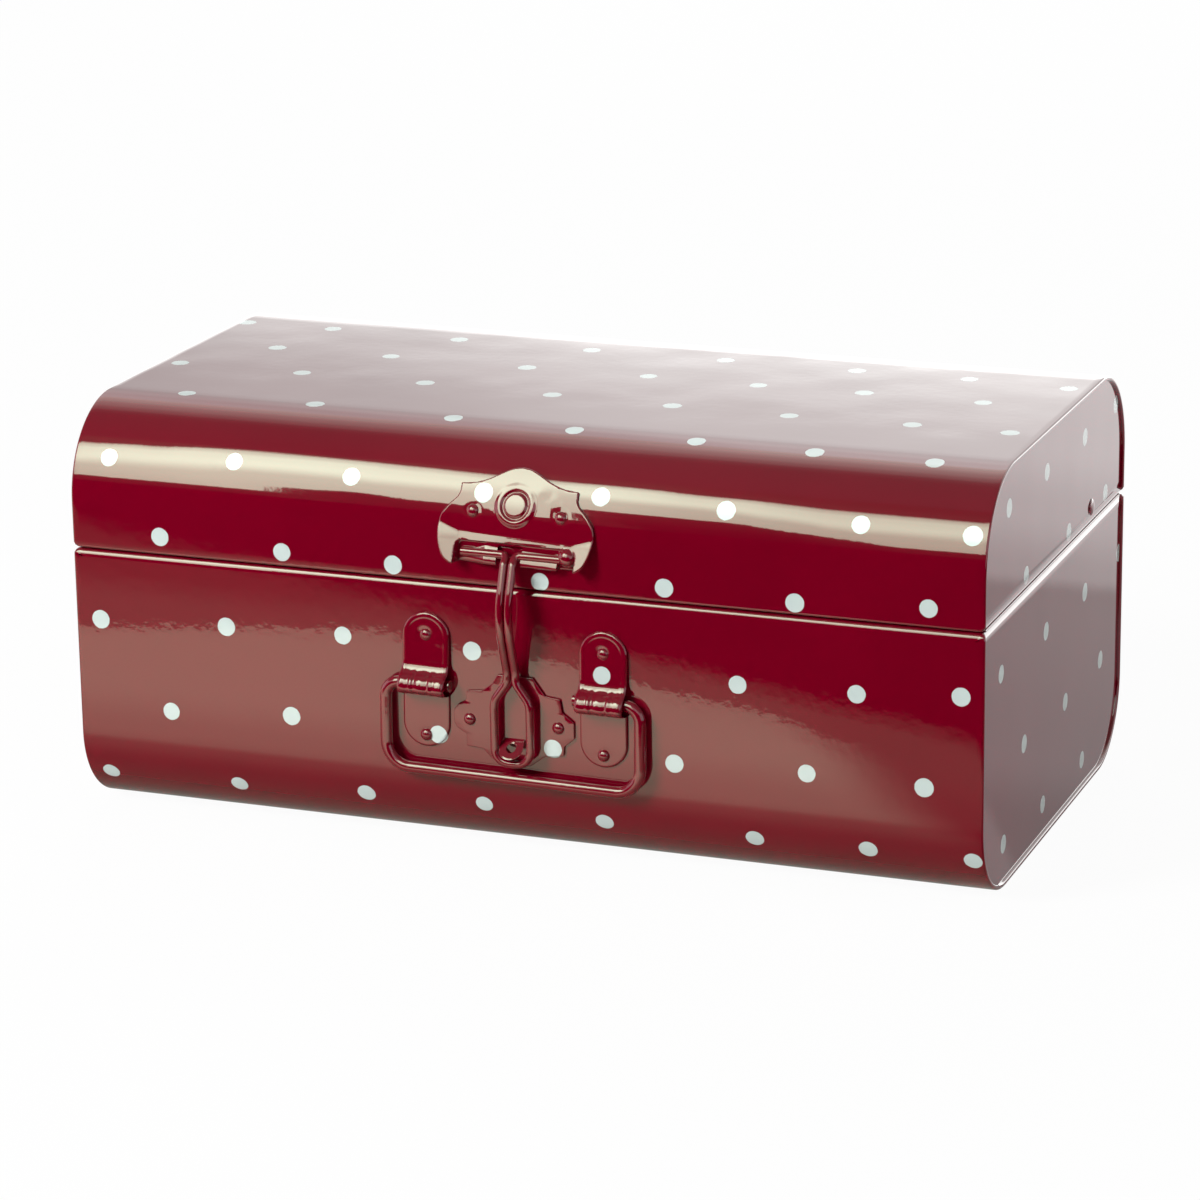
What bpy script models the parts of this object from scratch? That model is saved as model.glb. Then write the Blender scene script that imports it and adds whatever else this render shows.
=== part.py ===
"""A small sheet-steel suitcase: base and lid folded from sheet, hasp, drop handle, hinges and lid stays.

Metres, +Z up. The origin is the middle of the underside. The front, with the hasp and the handle, faces -Y,
and the hinges are on the back, at +Y.
"""

from math import acos, atan, cos, degrees, pi, radians, sin, sqrt, tan

import bmesh
import bpy
from mathutils import Matrix, Vector

# The case
CASE_WIDTH = 0.360
CASE_DEPTH = 0.200
CASE_HEIGHT = 0.160
SPLIT_HEIGHT = 0.106
SPLIT_GAP = 0.0004
TOP_EDGE_SHARE = 2 / 3
BOTTOM_EDGE_RADIUS = 0.032
SHEET = 0.0008
SEAT_GAP = 0.0003
CUT_OVERRUN = 0.002
TOP_EDGE_STEPS = 9
BOTTOM_EDGE_STEPS = 10

# The curled long edges at the split, and the hemmed rims at the ends
CURL_RADIUS = 0.0013
CURL_STEPS = 10
RIM_THICKNESS = 0.0020
RIM_WIDTH = 0.0030
RIM_SET_BACK = 0.00015
RIM_ROUNDING = 0.0003
RIM_STEPS = 11
PANEL_FLANGE = 0.0080
PANEL_BEAD_RADIUS = 0.0011
PANEL_BEAD_SET_BACK = 0.0005
SMOOTH_LIMIT_DEG = 35
ROUNDED_EDGE_LIMIT_DEG = 50

# Rivets and the plates that they hold
PLATE = 0.0008
RIVET_HEAD_RADIUS = 0.0020
RIVET_HEAD_HEIGHT = 0.0012
RIVET_SHANK_RADIUS = 0.0011
RIVET_TAIL_RADIUS = 0.0018
RIVET_TAIL_HEIGHT = 0.0007
HOLE_CLEARANCE = 0.0003
ROUND_STEPS = 12
DOME_STEPS = 3
DOME_RIM_DEG = 15
TIP_STEPS = 8

# The hasp plate on the lid. Its foot and its barrel follow the height of the lid's flat, and its top and its
# rivets follow the radius of the lid's curve, along the curve.
HASP_PLATE_HALF_WIDTH = 0.0308
HASP_PLATE_BOTTOM_SHARE = 22 / 45
HASP_PLATE_TOP_SHARE = 3 / 4
HASP_PLATE_RIVET_X = 0.0173
HASP_PLATE_RIVET_SHARE = 97 / 360
HASP_PLATE_BANDS = 6
HASP_PLATE_SHARES = (
    (0.78, 0.000),
    (0.87, 0.035),
    (0.92, 0.116),
    (0.98, 0.220),
    (1.00, 0.337),
    (0.97, 0.450),
    (0.88, 0.560),
    (0.79, 0.640),
    (0.757, 0.700),
    (0.757, 0.793),
    (0.60, 0.805),
    (0.42, 0.855),
    (0.25, 0.930),
    (0.12, 0.985),
    (0.00, 1.000),
)
BARREL_HEIGHT_SHARE = 67 / 90
BARREL_RADIUS = 0.0046
BARREL_HALF_LENGTH = 0.0250
BARREL_NOTCH_HALF_WIDTH = 0.0050
BARREL_STEPS = 16

# The hasp: one wire bent double, with its ends turned out into the barrel. It hangs down over the ear.
HASP_WIRE_RADIUS = 0.0017
HASP_WIRE_GAP = 0.0003
HASP_PIVOT_PROUD = 0.00225
HASP_END_X = 0.0200
HASP_ROOT_PROUD = 0.0054
HASP_ROOT_DROP = 0.0028
HASP_BOW_PROUD = 0.0125
HASP_BOW_SHARE = 107 / 227
HASP_NECK_RISE = 0.0340
HASP_LOOP_TOP_RISE = 0.0302
HASP_SHOULDER_RISE = 0.0266
HASP_LOOP_BELOW_EAR = 0.0080
HASP_LOOP_HALF_WIDTH = 0.00765
HASP_LOOP_GAP = 0.0003
HASP_ROOT_BEND = 0.0022
HASP_HEEL_BEND = 0.0030
HASP_BOW_BEND = 0.0280
HASP_NECK_BEND = 0.0120
HASP_THROAT_BEND = 0.0022
HASP_SHOULDER_BEND = 0.0050
HASP_LOOP_BEND = 0.0070
HASP_BEND_STEPS = 4
HASP_WIRE_RESOLUTION = 2

# The catch plate on the base, with its ear for a padlock. Heights are shares of the base's flat front.
CATCH_HALF_WIDTH = 0.0238
CATCH_BOTTOM_SHARE = 6 / 74
CATCH_TOP_SHARE = 40.5 / 74
CATCH_RIVET_X = 0.0176
CATCH_RIVET_SHARE = 22.2 / 74
CATCH_SHARES = (
    (0.30, 0.000),
    (0.40, 0.045),
    (0.52, 0.150),
    (0.80, 0.162),
    (0.80, 0.300),
    (0.95, 0.355),
    (1.00, 0.420),
    (1.00, 0.560),
    (0.93, 0.630),
    (0.80, 0.670),
    (0.78, 0.785),
    (0.52, 0.805),
    (0.36, 0.890),
    (0.26, 1.000),
)
EAR_SHARE = 16 / 74
EAR_HALF_WIDTH = 0.00335
EAR_REACH = 0.0090
EAR_HOLE_RADIUS = 0.0020
EAR_THICKNESS = 0.0010

# The drop handle and its two brackets. Heights are shares of the base's flat front.
BRACKET_X = 0.0355
BRACKET_HALF_WIDTH = 0.00935
BRACKET_TOP_SHARE = 62 / 74
BRACKET_BOTTOM_SHARE = 9.5 / 74
BRACKET_UPPER_RIVET_SHARE = 53.5 / 74
BRACKET_LOWER_RIVET_SHARE = 14.3 / 74
BRACKET_BARREL_RADIUS = 0.0055
BRACKET_BARREL_SET_BACK = 0.0003
BRACKET_BARREL_STEPS = 20
HANDLE_WIRE_RADIUS = 0.0023
HANDLE_PIVOT_SHARE = 35 / 74
HANDLE_PIVOT_PROUD = 0.00275
HANDLE_END_X = 0.0245
HANDLE_HALF_WIDTH = 0.0505
HANDLE_BELOW_HASP = 0.0012
HANDLE_TOP_BEND = 0.0060
HANDLE_CORNER_BEND = 0.0095
HANDLE_BEND_STEPS = 6
HANDLE_WIRE_RESOLUTION = 3

# The hinges on the back
HINGE_END_INSET = 0.0700
HINGE_HALF_WIDTH = 0.0200
HINGE_LEAF_HEIGHT = 0.0155
KNUCKLE_RADIUS = 0.0022
KNUCKLE_PROUD = 0.0026
KNUCKLE_GAP = 0.0003
KNUCKLE_MIDDLE_HALF_WIDTH = 0.0070
KNUCKLE_STEPS = 16
LEAF_SETBACK = 0.0026
HINGE_PIN_RADIUS = 0.0010
HINGE_PIN_CLEARANCE = 0.0002
HINGE_PIN_HEAD_RADIUS = 0.0016
HINGE_PIN_HEAD = 0.0006
HINGE_RIVET_X = 0.0120
HINGE_RIVET_HEIGHT = 0.0100
LID_RANGE_DEG = 100.0

# The lid stays inside the two ends: a slotted link turns on the lid's rivet and slides on the base's stud
STAY_Y = 0.0520
STAY_PIVOT_RISE = 0.0060
STAY_HALF_WIDTH = 0.0040
STAY_THICKNESS = 0.0010
STAY_STANDOFF = 0.0012
STAY_PIN_RADIUS = 0.0015
STAY_PIN_CLEARANCE = 0.0003
STAY_HEAD_RADIUS = 0.0030
STAY_HEAD = 0.0010
STAY_FOOT = 0.0006
STAY_RIVET_HEAD_RADIUS = 0.0038
STAY_RIVET_HEAD_HEIGHT = 0.0016

# Places worked out from the sizes above
HALF_WIDTH = CASE_WIDTH / 2
HALF_DEPTH = CASE_DEPTH / 2
PANEL_FACE_X = HALF_WIDTH - RIM_WIDTH - SEAT_GAP
PANEL_INSET = SHEET + SEAT_GAP
LID_HEIGHT = CASE_HEIGHT - SPLIT_HEIGHT
TOP_EDGE_RADIUS = LID_HEIGHT * TOP_EDGE_SHARE
LID_FLAT_HEIGHT = LID_HEIGHT - TOP_EDGE_RADIUS
BASE_FLAT_HEIGHT = SPLIT_HEIGHT - BOTTOM_EDGE_RADIUS
PLATE_BACK = SEAT_GAP
PLATE_MIDDLE = PLATE_BACK + PLATE / 2
RIVET_SEAT = PLATE_BACK + PLATE + SEAT_GAP
HINGE_X = HALF_WIDTH - HINGE_END_INSET
HINGE_Y = HALF_DEPTH + KNUCKLE_PROUD
HASP_PLATE_BOTTOM = LID_FLAT_HEIGHT * HASP_PLATE_BOTTOM_SHARE
HASP_PLATE_TOP = LID_FLAT_HEIGHT + TOP_EDGE_RADIUS * HASP_PLATE_TOP_SHARE
HASP_PLATE_BAND = (HASP_PLATE_TOP - LID_FLAT_HEIGHT) / HASP_PLATE_BANDS
HASP_PLATE_RIVET_HEIGHT = LID_FLAT_HEIGHT + TOP_EDGE_RADIUS * HASP_PLATE_RIVET_SHARE
HASP_PIVOT_Z = SPLIT_HEIGHT + LID_FLAT_HEIGHT * BARREL_HEIGHT_SHARE
STAY_REACH = HINGE_Y - STAY_Y
STAY_SWING_RADIUS = sqrt(STAY_REACH**2 + STAY_PIVOT_RISE**2)


def on_base_front(share):
    """The z at a share of the base's flat front, from its lower end up to the split."""
    return BOTTOM_EDGE_RADIUS + BASE_FLAT_HEIGHT * share


CATCH_BOTTOM_Z = on_base_front(CATCH_BOTTOM_SHARE)
CATCH_TOP_Z = on_base_front(CATCH_TOP_SHARE)
CATCH_RIVET_Z = on_base_front(CATCH_RIVET_SHARE)
EAR_Z = on_base_front(EAR_SHARE)
BRACKET_TOP_Z = on_base_front(BRACKET_TOP_SHARE)
BRACKET_BOTTOM_Z = on_base_front(BRACKET_BOTTOM_SHARE)
BRACKET_UPPER_RIVET_Z = on_base_front(BRACKET_UPPER_RIVET_SHARE)
BRACKET_LOWER_RIVET_Z = on_base_front(BRACKET_LOWER_RIVET_SHARE)
HANDLE_PIVOT_Z = on_base_front(HANDLE_PIVOT_SHARE)
HASP_LOOP_BOTTOM_Z = EAR_Z - HASP_LOOP_BELOW_EAR
HASP_REACH = HASP_PIVOT_Z - HASP_LOOP_BOTTOM_Z
HANDLE_BAR_Z = HASP_LOOP_BOTTOM_Z - HASP_WIRE_RADIUS - HANDLE_BELOW_HASP - HANDLE_WIRE_RADIUS
HANDLE_DROP = HANDLE_PIVOT_Z - HANDLE_BAR_Z

FACING_FRONT = (pi / 2, 0, 0)
FACING_BACK = (-pi / 2, 0, 0)
ALONG_X = (0, pi / 2, 0)
EXTRUDED_ALONG_X = (pi / 2, 0, pi / 2)
SIDES = (("left", -1), ("right", 1))

ENAMEL_RED = (0.19, 0.004, 0.012)
ZINC = (0.48, 0.48, 0.47)


def clear_scene():
    """Empty the file of objects."""
    for obj in list(bpy.data.objects):
        bpy.data.objects.remove(obj, do_unlink=True)


def new_collection(name):
    """Add a collection to the scene."""
    collection = bpy.data.collections.new(name)
    bpy.context.scene.collection.children.link(collection)
    return collection


clear_scene()
SUITCASE = new_collection("metal_suitcase")
CUTTERS = new_collection("cutters")


def move_to(obj, collection):
    """Keep the object in one collection only."""
    for owner in list(obj.users_collection):
        owner.objects.unlink(obj)
    collection.objects.link(obj)


def paint(obj, colour, roughness=0.18, metallic=0.0):
    """Give the object a material of its own."""
    material = bpy.data.materials.new(obj.name + "_finish")
    material.use_nodes = True
    shader = material.node_tree.nodes["Principled BSDF"]
    shader.inputs["Base Color"].default_value = (*colour, 1)
    shader.inputs["Roughness"].default_value = roughness
    shader.inputs["Metallic"].default_value = metallic
    obj.data.materials.clear()
    obj.data.materials.append(material)


def enamel(obj):
    """Finish in the red enamel of the case."""
    paint(obj, ENAMEL_RED)


def zinc(obj):
    """Finish in bare zinc-plated steel."""
    paint(obj, ZINC, roughness=0.38, metallic=1.0)


def combine(obj, others, operation, solver="EXACT"):
    """Join each of the other solids to the object, or cut each away."""
    for other in others:
        move_to(other, CUTTERS)
        other.hide_render = True
        other.display_type = "WIRE"
        modifier = obj.modifiers.new(operation.lower() + "_" + other.name, "BOOLEAN")
        modifier.operation = operation
        modifier.solver = solver
        modifier.object = other


def arc(centre, radius, start_deg, end_deg, steps):
    """Points of an arc in a plane, both ends included."""
    points = []
    for i in range(steps + 1):
        angle = radians(start_deg + (end_deg - start_deg) * i / steps)
        points.append((centre[0] + radius * cos(angle), centre[1] + radius * sin(angle)))
    return points


def mirrored(half):
    """A closed outline from its right half; a point on the middle line isn't repeated."""
    return half + [(-x, y) for x, y in reversed(half) if x > 0]


def shared_outline(shares, half_width, bottom, top):
    """A symmetric outline from shares of its half width and its height."""
    half = [(u * half_width, bottom + v * (top - bottom)) for u, v in shares]
    return mirrored(half)


def stadium(half_width, low, high, steps=TIP_STEPS):
    """An upright outline with fully rounded ends."""
    upper = arc((0, high - half_width), half_width, 0, 180, steps)
    lower = arc((0, low + half_width), half_width, 180, 360, steps)
    return upper + lower


def curve_to_mesh(curve_object):
    """Turn a curve object into a mesh object with its caps welded."""
    name = curve_object.name
    bpy.context.view_layer.update()
    evaluated = curve_object.evaluated_get(bpy.context.evaluated_depsgraph_get())
    mesh = bpy.data.meshes.new_from_object(evaluated)
    shape = bmesh.new()
    shape.from_mesh(mesh)
    bmesh.ops.remove_doubles(shape, verts=shape.verts, dist=SHEET / 1000)
    shape.to_mesh(mesh)
    shape.free()
    placed = curve_object.matrix_world.copy()
    bpy.data.objects.remove(curve_object)
    solid = bpy.data.objects.new(name, mesh)
    solid.name = name
    solid.matrix_world = placed
    SUITCASE.objects.link(solid)
    return solid


def slab(name, outline, thickness, location, rotation):
    """A flat outline as a solid of the given thickness, centred on its plane."""
    curve = bpy.data.curves.new(name, "CURVE")
    curve.dimensions = "2D"
    curve.fill_mode = "BOTH"
    curve.extrude = thickness / 2
    spline = curve.splines.new("POLY")
    spline.points.add(len(outline) - 1)
    for point, (u, v) in zip(spline.points, outline):
        point.co = (u, v, 0, 1)
    spline.use_cyclic_u = True
    obj = bpy.data.objects.new(name, curve)
    SUITCASE.objects.link(obj)
    obj.location = location
    obj.rotation_euler = rotation
    return curve_to_mesh(obj)


def smooth(obj):
    """Shade round faces smooth and keep the real edges sharp."""
    obj.data.shade_smooth()
    obj.data.set_sharp_from_angle(angle=radians(SMOOTH_LIMIT_DEG))


def cylinder(name, radius, length, location, rotation, sides=ROUND_STEPS):
    """A cylinder along its own Z, centred on its location."""
    bpy.ops.mesh.primitive_cylinder_add(
        vertices=sides, radius=radius, depth=length, location=location, rotation=rotation
    )
    obj = bpy.context.object
    obj.name = name
    move_to(obj, SUITCASE)
    return obj


def box(name, size, location):
    """A box with its own size, centred on its location."""
    bpy.ops.mesh.primitive_cube_add(size=1, location=location)
    obj = bpy.context.object
    obj.name = name
    obj.data.transform(Matrix.Diagonal((*size, 1)))
    move_to(obj, SUITCASE)
    return obj


def turned(name, profile, location, rotation, steps=ROUND_STEPS):
    """A turned solid from its profile, radius and height, from its top down to its bottom."""
    mesh = bpy.data.meshes.new(name)
    shape = bmesh.new()
    verts = [shape.verts.new((radius, 0, height)) for radius, height in profile]
    for upper, lower in zip(verts, verts[1:]):
        shape.edges.new((upper, lower))
    shape.to_mesh(mesh)
    shape.free()
    obj = bpy.data.objects.new(name, mesh)
    SUITCASE.objects.link(obj)
    obj.location = location
    obj.rotation_euler = rotation
    screw = obj.modifiers.new("turn", "SCREW")
    screw.steps = steps
    screw.render_steps = steps
    screw.use_merge_vertices = True
    screw.merge_threshold = SHEET / 100
    return obj


def dome(radius, height, base, steps=DOME_STEPS):
    """The profile of a low domed head, from its crown down to its rim."""
    low = sin(radians(DOME_RIM_DEG))
    span = cos(radians(DOME_RIM_DEG))
    points = [(0, base + height)]
    for across, up in arc((0, 0), 1, 90, DOME_RIM_DEG, steps)[1:]:
        points.append((radius * across / span, base + height * (up - low) / (1 - low)))
    return points


def round_corners(corners, radii, steps):
    """A path through the corners, with each inner corner turned in an arc of its radius."""
    corners = [Vector(corner) for corner in corners]
    path = [corners[0]]
    for before, corner, after, radius in zip(corners, corners[1:], corners[2:], radii):
        back = (before - corner).normalized()
        ahead = (after - corner).normalized()
        half_angle = back.angle(ahead) / 2
        centre = corner + (back + ahead).normalized() * radius / sin(half_angle)
        start = corner + back * radius / tan(half_angle) - centre
        end = corner + ahead * radius / tan(half_angle) - centre
        turn = start.angle(end)
        for i in range(steps + 1):
            share = i / steps
            offset = start * sin((1 - share) * turn) + end * sin(share * turn)
            path.append(centre + offset / sin(turn))
    path.append(corners[-1])
    return path


def wire(name, path, radius, location, resolution):
    """A round wire along a path, as a curve with filled caps."""
    curve = bpy.data.curves.new(name, "CURVE")
    curve.dimensions = "3D"
    curve.bevel_depth = radius
    curve.bevel_resolution = resolution
    curve.use_fill_caps = True
    spline = curve.splines.new("POLY")
    spline.points.add(len(path) - 1)
    for point, place in zip(spline.points, path):
        point.co = (*place, 1)
    obj = bpy.data.objects.new(name, curve)
    SUITCASE.objects.link(obj)
    obj.location = location
    return obj


# The two halves of the case share one description. Across is y, and deep is the distance from the split.
class Half:
    """The base or the lid: a trough that is open at the split."""

    def __init__(self, name, edge_z, floor_z, corner_radius, corner_steps):
        self.name = name
        self.edge_z = edge_z
        self.depth = abs(floor_z - edge_z)
        self.way = 1 if floor_z > edge_z else -1
        self.corner_radius = corner_radius
        self.corner_steps = corner_steps

    def trough(self, inset, start_deep, steps=None):
        """The trough's section at an inset from the outside, from the front edge round to the back edge."""
        steps = steps or self.corner_steps
        radius = self.corner_radius - inset
        across = HALF_DEPTH - self.corner_radius
        deep = self.depth - self.corner_radius
        front = arc((-across, deep), radius, 180, 90, steps)
        back = arc((across, deep), radius, 90, 0, steps)
        return [(inset - HALF_DEPTH, start_deep)] + front + back + [(HALF_DEPTH - inset, start_deep)]

    def place(self, outline):
        """Turn across and deep into y and z."""
        return [(across, self.edge_z + self.way * deep) for across, deep in outline]


BASE_EDGE_Z = SPLIT_HEIGHT - SPLIT_GAP / 2
LID_EDGE_Z = SPLIT_HEIGHT + SPLIT_GAP / 2
BASE = Half("base", BASE_EDGE_Z, 0, BOTTOM_EDGE_RADIUS, BOTTOM_EDGE_STEPS)
LID = Half("lid", LID_EDGE_Z, CASE_HEIGHT, TOP_EDGE_RADIUS, TOP_EDGE_STEPS)


def curl(side):
    """The section of a curled edge, from the outside over the edge to the inner face of the sheet."""
    end_deg = 360 - degrees(acos((CURL_RADIUS - SHEET) / CURL_RADIUS))
    points = []
    for u, v in arc((0, 0), CURL_RADIUS, 0, end_deg, CURL_STEPS):
        points.append((side * (HALF_DEPTH - CURL_RADIUS + u), CURL_RADIUS - v))
    return points


def wrap_sheet(half):
    """The sheet that wraps front, floor and back, with its long edges curled inwards."""
    outer = half.trough(0, CURL_RADIUS)
    inner = half.trough(SHEET, CURL_RADIUS + sqrt(CURL_RADIUS**2 - (CURL_RADIUS - SHEET) ** 2))
    outline = outer[1:-1] + curl(1) + inner[-2:0:-1] + curl(-1)[::-1]
    return slab(half.name + "_wrap", half.place(outline), CASE_WIDTH, (0, 0, 0), EXTRUDED_ALONG_X)


def rims(half):
    """The hems that double the sheet inwards along both ends, as a mirrored pair."""
    outer = half.trough(SHEET * 3 / 8, CURL_RADIUS, RIM_STEPS)
    inner = half.trough(RIM_THICKNESS, CURL_RADIUS * 3 / 4, RIM_STEPS)
    width = RIM_WIDTH - RIM_SET_BACK
    centre = HALF_WIDTH - RIM_SET_BACK - width / 2
    pair = slab(half.name + "_rims", half.place(outer + inner[::-1]), width, (0, 0, 0), EXTRUDED_ALONG_X)
    pair.data.transform(Matrix.Translation((0, 0, centre)))
    rounding = pair.modifiers.new("rounding", "BEVEL")
    rounding.width = RIM_ROUNDING
    rounding.segments = 2
    rounding.limit_method = "ANGLE"
    rounding.angle_limit = radians(ROUNDED_EDGE_LIMIT_DEG)
    mirror = pair.modifiers.new("other_end", "MIRROR")
    mirror.use_axis = (False, False, True)
    mirror.merge_threshold = SHEET / 100
    return pair


def wrap(half, holes):
    """The wrap with both rims and its rivet holes."""
    sheet = wrap_sheet(half)
    combine(sheet, holes, "DIFFERENCE")
    combine(sheet, [rims(half)], "UNION", "MANIFOLD")
    enamel(sheet)
    smooth(sheet)
    return sheet


def end_panel(half, side_name, side, holes=()):
    """A flanged end panel that sits behind the rim, with a bead along the split."""
    name = half.name + "_end_" + side_name
    low = 2 * CURL_RADIUS + SEAT_GAP
    across = HALF_DEPTH - low
    shoulder = half.trough(PANEL_INSET, low + SEAT_GAP)
    top = [(across, low), (across, PANEL_BEAD_RADIUS), (-across, PANEL_BEAD_RADIUS), (-across, low)]
    middle = side * (PANEL_FACE_X - PANEL_FLANGE / 2)
    panel = slab(name, half.place(shoulder + top), PANEL_FLANGE, (middle, 0, 0), EXTRUDED_ALONG_X)
    pocket = half.place(half.trough(PANEL_INSET + SHEET, -CUT_OVERRUN))
    pocket_middle = middle - side * SHEET
    hollow = slab(name + "_hollow", pocket, PANEL_FLANGE, (pocket_middle, 0, 0), EXTRUDED_ALONG_X)
    combine(panel, [hollow, *holes], "DIFFERENCE")
    bead_place = (side * (PANEL_FACE_X - SHEET / 2), 0, half.edge_z + half.way * PANEL_BEAD_RADIUS)
    length = 2 * (across - PANEL_BEAD_SET_BACK)
    bead = cylinder(name + "_bead", PANEL_BEAD_RADIUS, length, bead_place, FACING_FRONT)
    combine(panel, [bead], "UNION")
    enamel(panel)
    smooth(panel)
    return panel


def lid_front(x, height, proud):
    """A point over the lid's front, from x, the height up its surface and the distance out of it."""
    if height <= LID_FLAT_HEIGHT:
        return Vector((x, -HALF_DEPTH - proud, SPLIT_HEIGHT + height))
    angle = (height - LID_FLAT_HEIGHT) / TOP_EDGE_RADIUS
    reach = TOP_EDGE_RADIUS + proud
    y = TOP_EDGE_RADIUS - HALF_DEPTH - reach * cos(angle)
    return Vector((x, y, CASE_HEIGHT - TOP_EDGE_RADIUS + reach * sin(angle)))


def plate_rivet_tilt():
    """The turn that points a solid's Z out of the lid's curve at the hasp plate's rivets."""
    return (pi / 2 - (HASP_PLATE_RIVET_HEIGHT - LID_FLAT_HEIGHT) / TOP_EDGE_RADIUS, 0, 0)


def rivet(name, location, rotation):
    """A rivet whose location is on the wall's outer face, with its head outwards."""
    tail = -SHEET - SEAT_GAP
    profile = dome(RIVET_HEAD_RADIUS, RIVET_HEAD_HEIGHT, RIVET_SEAT)
    profile += [(RIVET_SHANK_RADIUS, RIVET_SEAT), (RIVET_SHANK_RADIUS, tail), (RIVET_TAIL_RADIUS, tail)]
    profile += [(RIVET_TAIL_RADIUS, tail - RIVET_TAIL_HEIGHT), (0, tail - RIVET_TAIL_HEIGHT)]
    obj = turned(name, profile, location, rotation)
    enamel(obj)
    return obj


def rivet_hole(name, location, rotation):
    """The cutter for a rivet's hole through a plate and the wall."""
    length = 2 * (RIVET_SEAT + SHEET + CUT_OVERRUN)
    return cylinder(name, RIVET_SHANK_RADIUS + HOLE_CLEARANCE, length, location, rotation)


def rivet_places():
    """Each rivet's name, the half and the plate that it joins, its place and its direction."""
    places = []
    for side_name, side in SIDES:
        on_lid = lid_front(side * HASP_PLATE_RIVET_X, HASP_PLATE_RIVET_HEIGHT, 0)
        on_base = (side * CATCH_RIVET_X, -HALF_DEPTH, CATCH_RIVET_Z)
        places.append((f"hasp_plate_rivet_{side_name}", "lid", "hasp_plate", on_lid, plate_rivet_tilt()))
        places.append((f"catch_rivet_{side_name}", "base", "catch_plate", on_base, FACING_FRONT))
        bracket = f"bracket_{side_name}"
        for level, z in (("upper", BRACKET_UPPER_RIVET_Z), ("lower", BRACKET_LOWER_RIVET_Z)):
            place = (side * BRACKET_X, -HALF_DEPTH, z)
            places.append((f"{bracket}_rivet_{level}", "base", bracket, place, FACING_FRONT))
        for half_name, way in (("lid", 1), ("base", -1)):
            leaf = f"hinge_{side_name}_{half_name}_leaf"
            for hand_name, hand in SIDES:
                x = side * HINGE_X + hand * HINGE_RIVET_X
                place = (x, HALF_DEPTH, SPLIT_HEIGHT + way * HINGE_RIVET_HEIGHT)
                places.append((f"{leaf}_rivet_{hand_name}", half_name, leaf, place, FACING_BACK))
    return places


def holes_for(owner, key):
    """Cutters for the rivet holes of one wall or plate."""
    holes = []
    for name, half_name, plate_name, place, rotation in rivet_places():
        if key in (half_name, plate_name):
            holes.append(rivet_hole(f"{name}_hole_in_{owner}", place, rotation))
    return holes


def bend_round_lid(plate):
    """Slice a flat plate into bands above the lid's flat and lay each band round the curve."""
    levels = [LID_FLAT_HEIGHT]
    while levels[-1] < HASP_PLATE_TOP:
        levels.append(levels[-1] + HASP_PLATE_BAND)
    shape = bmesh.new()
    shape.from_mesh(plate.data)
    for level in levels:
        geometry = shape.verts[:] + shape.edges[:] + shape.faces[:]
        bmesh.ops.bisect_plane(shape, geom=geometry, plane_co=(0, level, 0), plane_no=(0, 1, 0))
    for vert in shape.verts:
        x, height, out = vert.co
        proud = out + PLATE_MIDDLE
        if height <= LID_FLAT_HEIGHT:
            vert.co = lid_front(x, height, proud)
            continue
        band = int((height - LID_FLAT_HEIGHT) / HASP_PLATE_BAND)
        low = LID_FLAT_HEIGHT + band * HASP_PLATE_BAND
        share = (height - low) / HASP_PLATE_BAND
        vert.co = lid_front(x, low, proud).lerp(lid_front(x, low + HASP_PLATE_BAND, proud), share)
    shape.to_mesh(plate.data)
    shape.free()


def capsule(name, radius, half_length, location, steps=BARREL_STEPS):
    """A round bar along X with ball ends, as a turned solid."""
    centre = half_length - radius
    upper = [(u, centre + v) for u, v in arc((0, 0), radius, 90, 0, DOME_STEPS)]
    lower = [(u, v - centre) for u, v in arc((0, 0), radius, 0, -90, DOME_STEPS)]
    upper[0] = (0, half_length)
    lower[-1] = (0, -half_length)
    return turned(name, upper + lower, location, ALONG_X, steps)


def hasp_plate():
    """The lid's plate: bent round the curve, with a pressed barrel that holds the hasp's ends."""
    outline = shared_outline(
        HASP_PLATE_SHARES, HASP_PLATE_HALF_WIDTH, HASP_PLATE_BOTTOM, HASP_PLATE_TOP
    )
    plate = slab("hasp_plate", outline, PLATE, (0, 0, 0), (0, 0, 0))
    bend_round_lid(plate)
    barrel_place = (0, -HALF_DEPTH - PLATE_MIDDLE, HASP_PIVOT_Z)
    combine(plate, [capsule("barrel", BARREL_RADIUS, BARREL_HALF_LENGTH, barrel_place)], "UNION")
    inside = BARREL_RADIUS - PLATE
    bore = capsule("barrel_bore", inside, BARREL_HALF_LENGTH - PLATE, barrel_place)
    back_size = (2 * BARREL_HALF_LENGTH + CUT_OVERRUN, 2 * BARREL_RADIUS, 2 * BARREL_RADIUS + CUT_OVERRUN)
    back_place = (0, -HALF_DEPTH - PLATE_BACK + BARREL_RADIUS, HASP_PIVOT_Z)
    back = box("barrel_back", back_size, back_place)
    notch_depth = 2 * (PLATE_MIDDLE + BARREL_RADIUS + CUT_OVERRUN)
    notch_size = (2 * BARREL_NOTCH_HALF_WIDTH, notch_depth, 2 * (BARREL_RADIUS + CUT_OVERRUN / 4))
    notch = box("barrel_notch", notch_size, (0, -HALF_DEPTH, HASP_PIVOT_Z))
    combine(plate, [bore, back, notch, *holes_for("hasp_plate", "hasp_plate")], "DIFFERENCE")
    enamel(plate)
    smooth(plate)
    return plate


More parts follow.
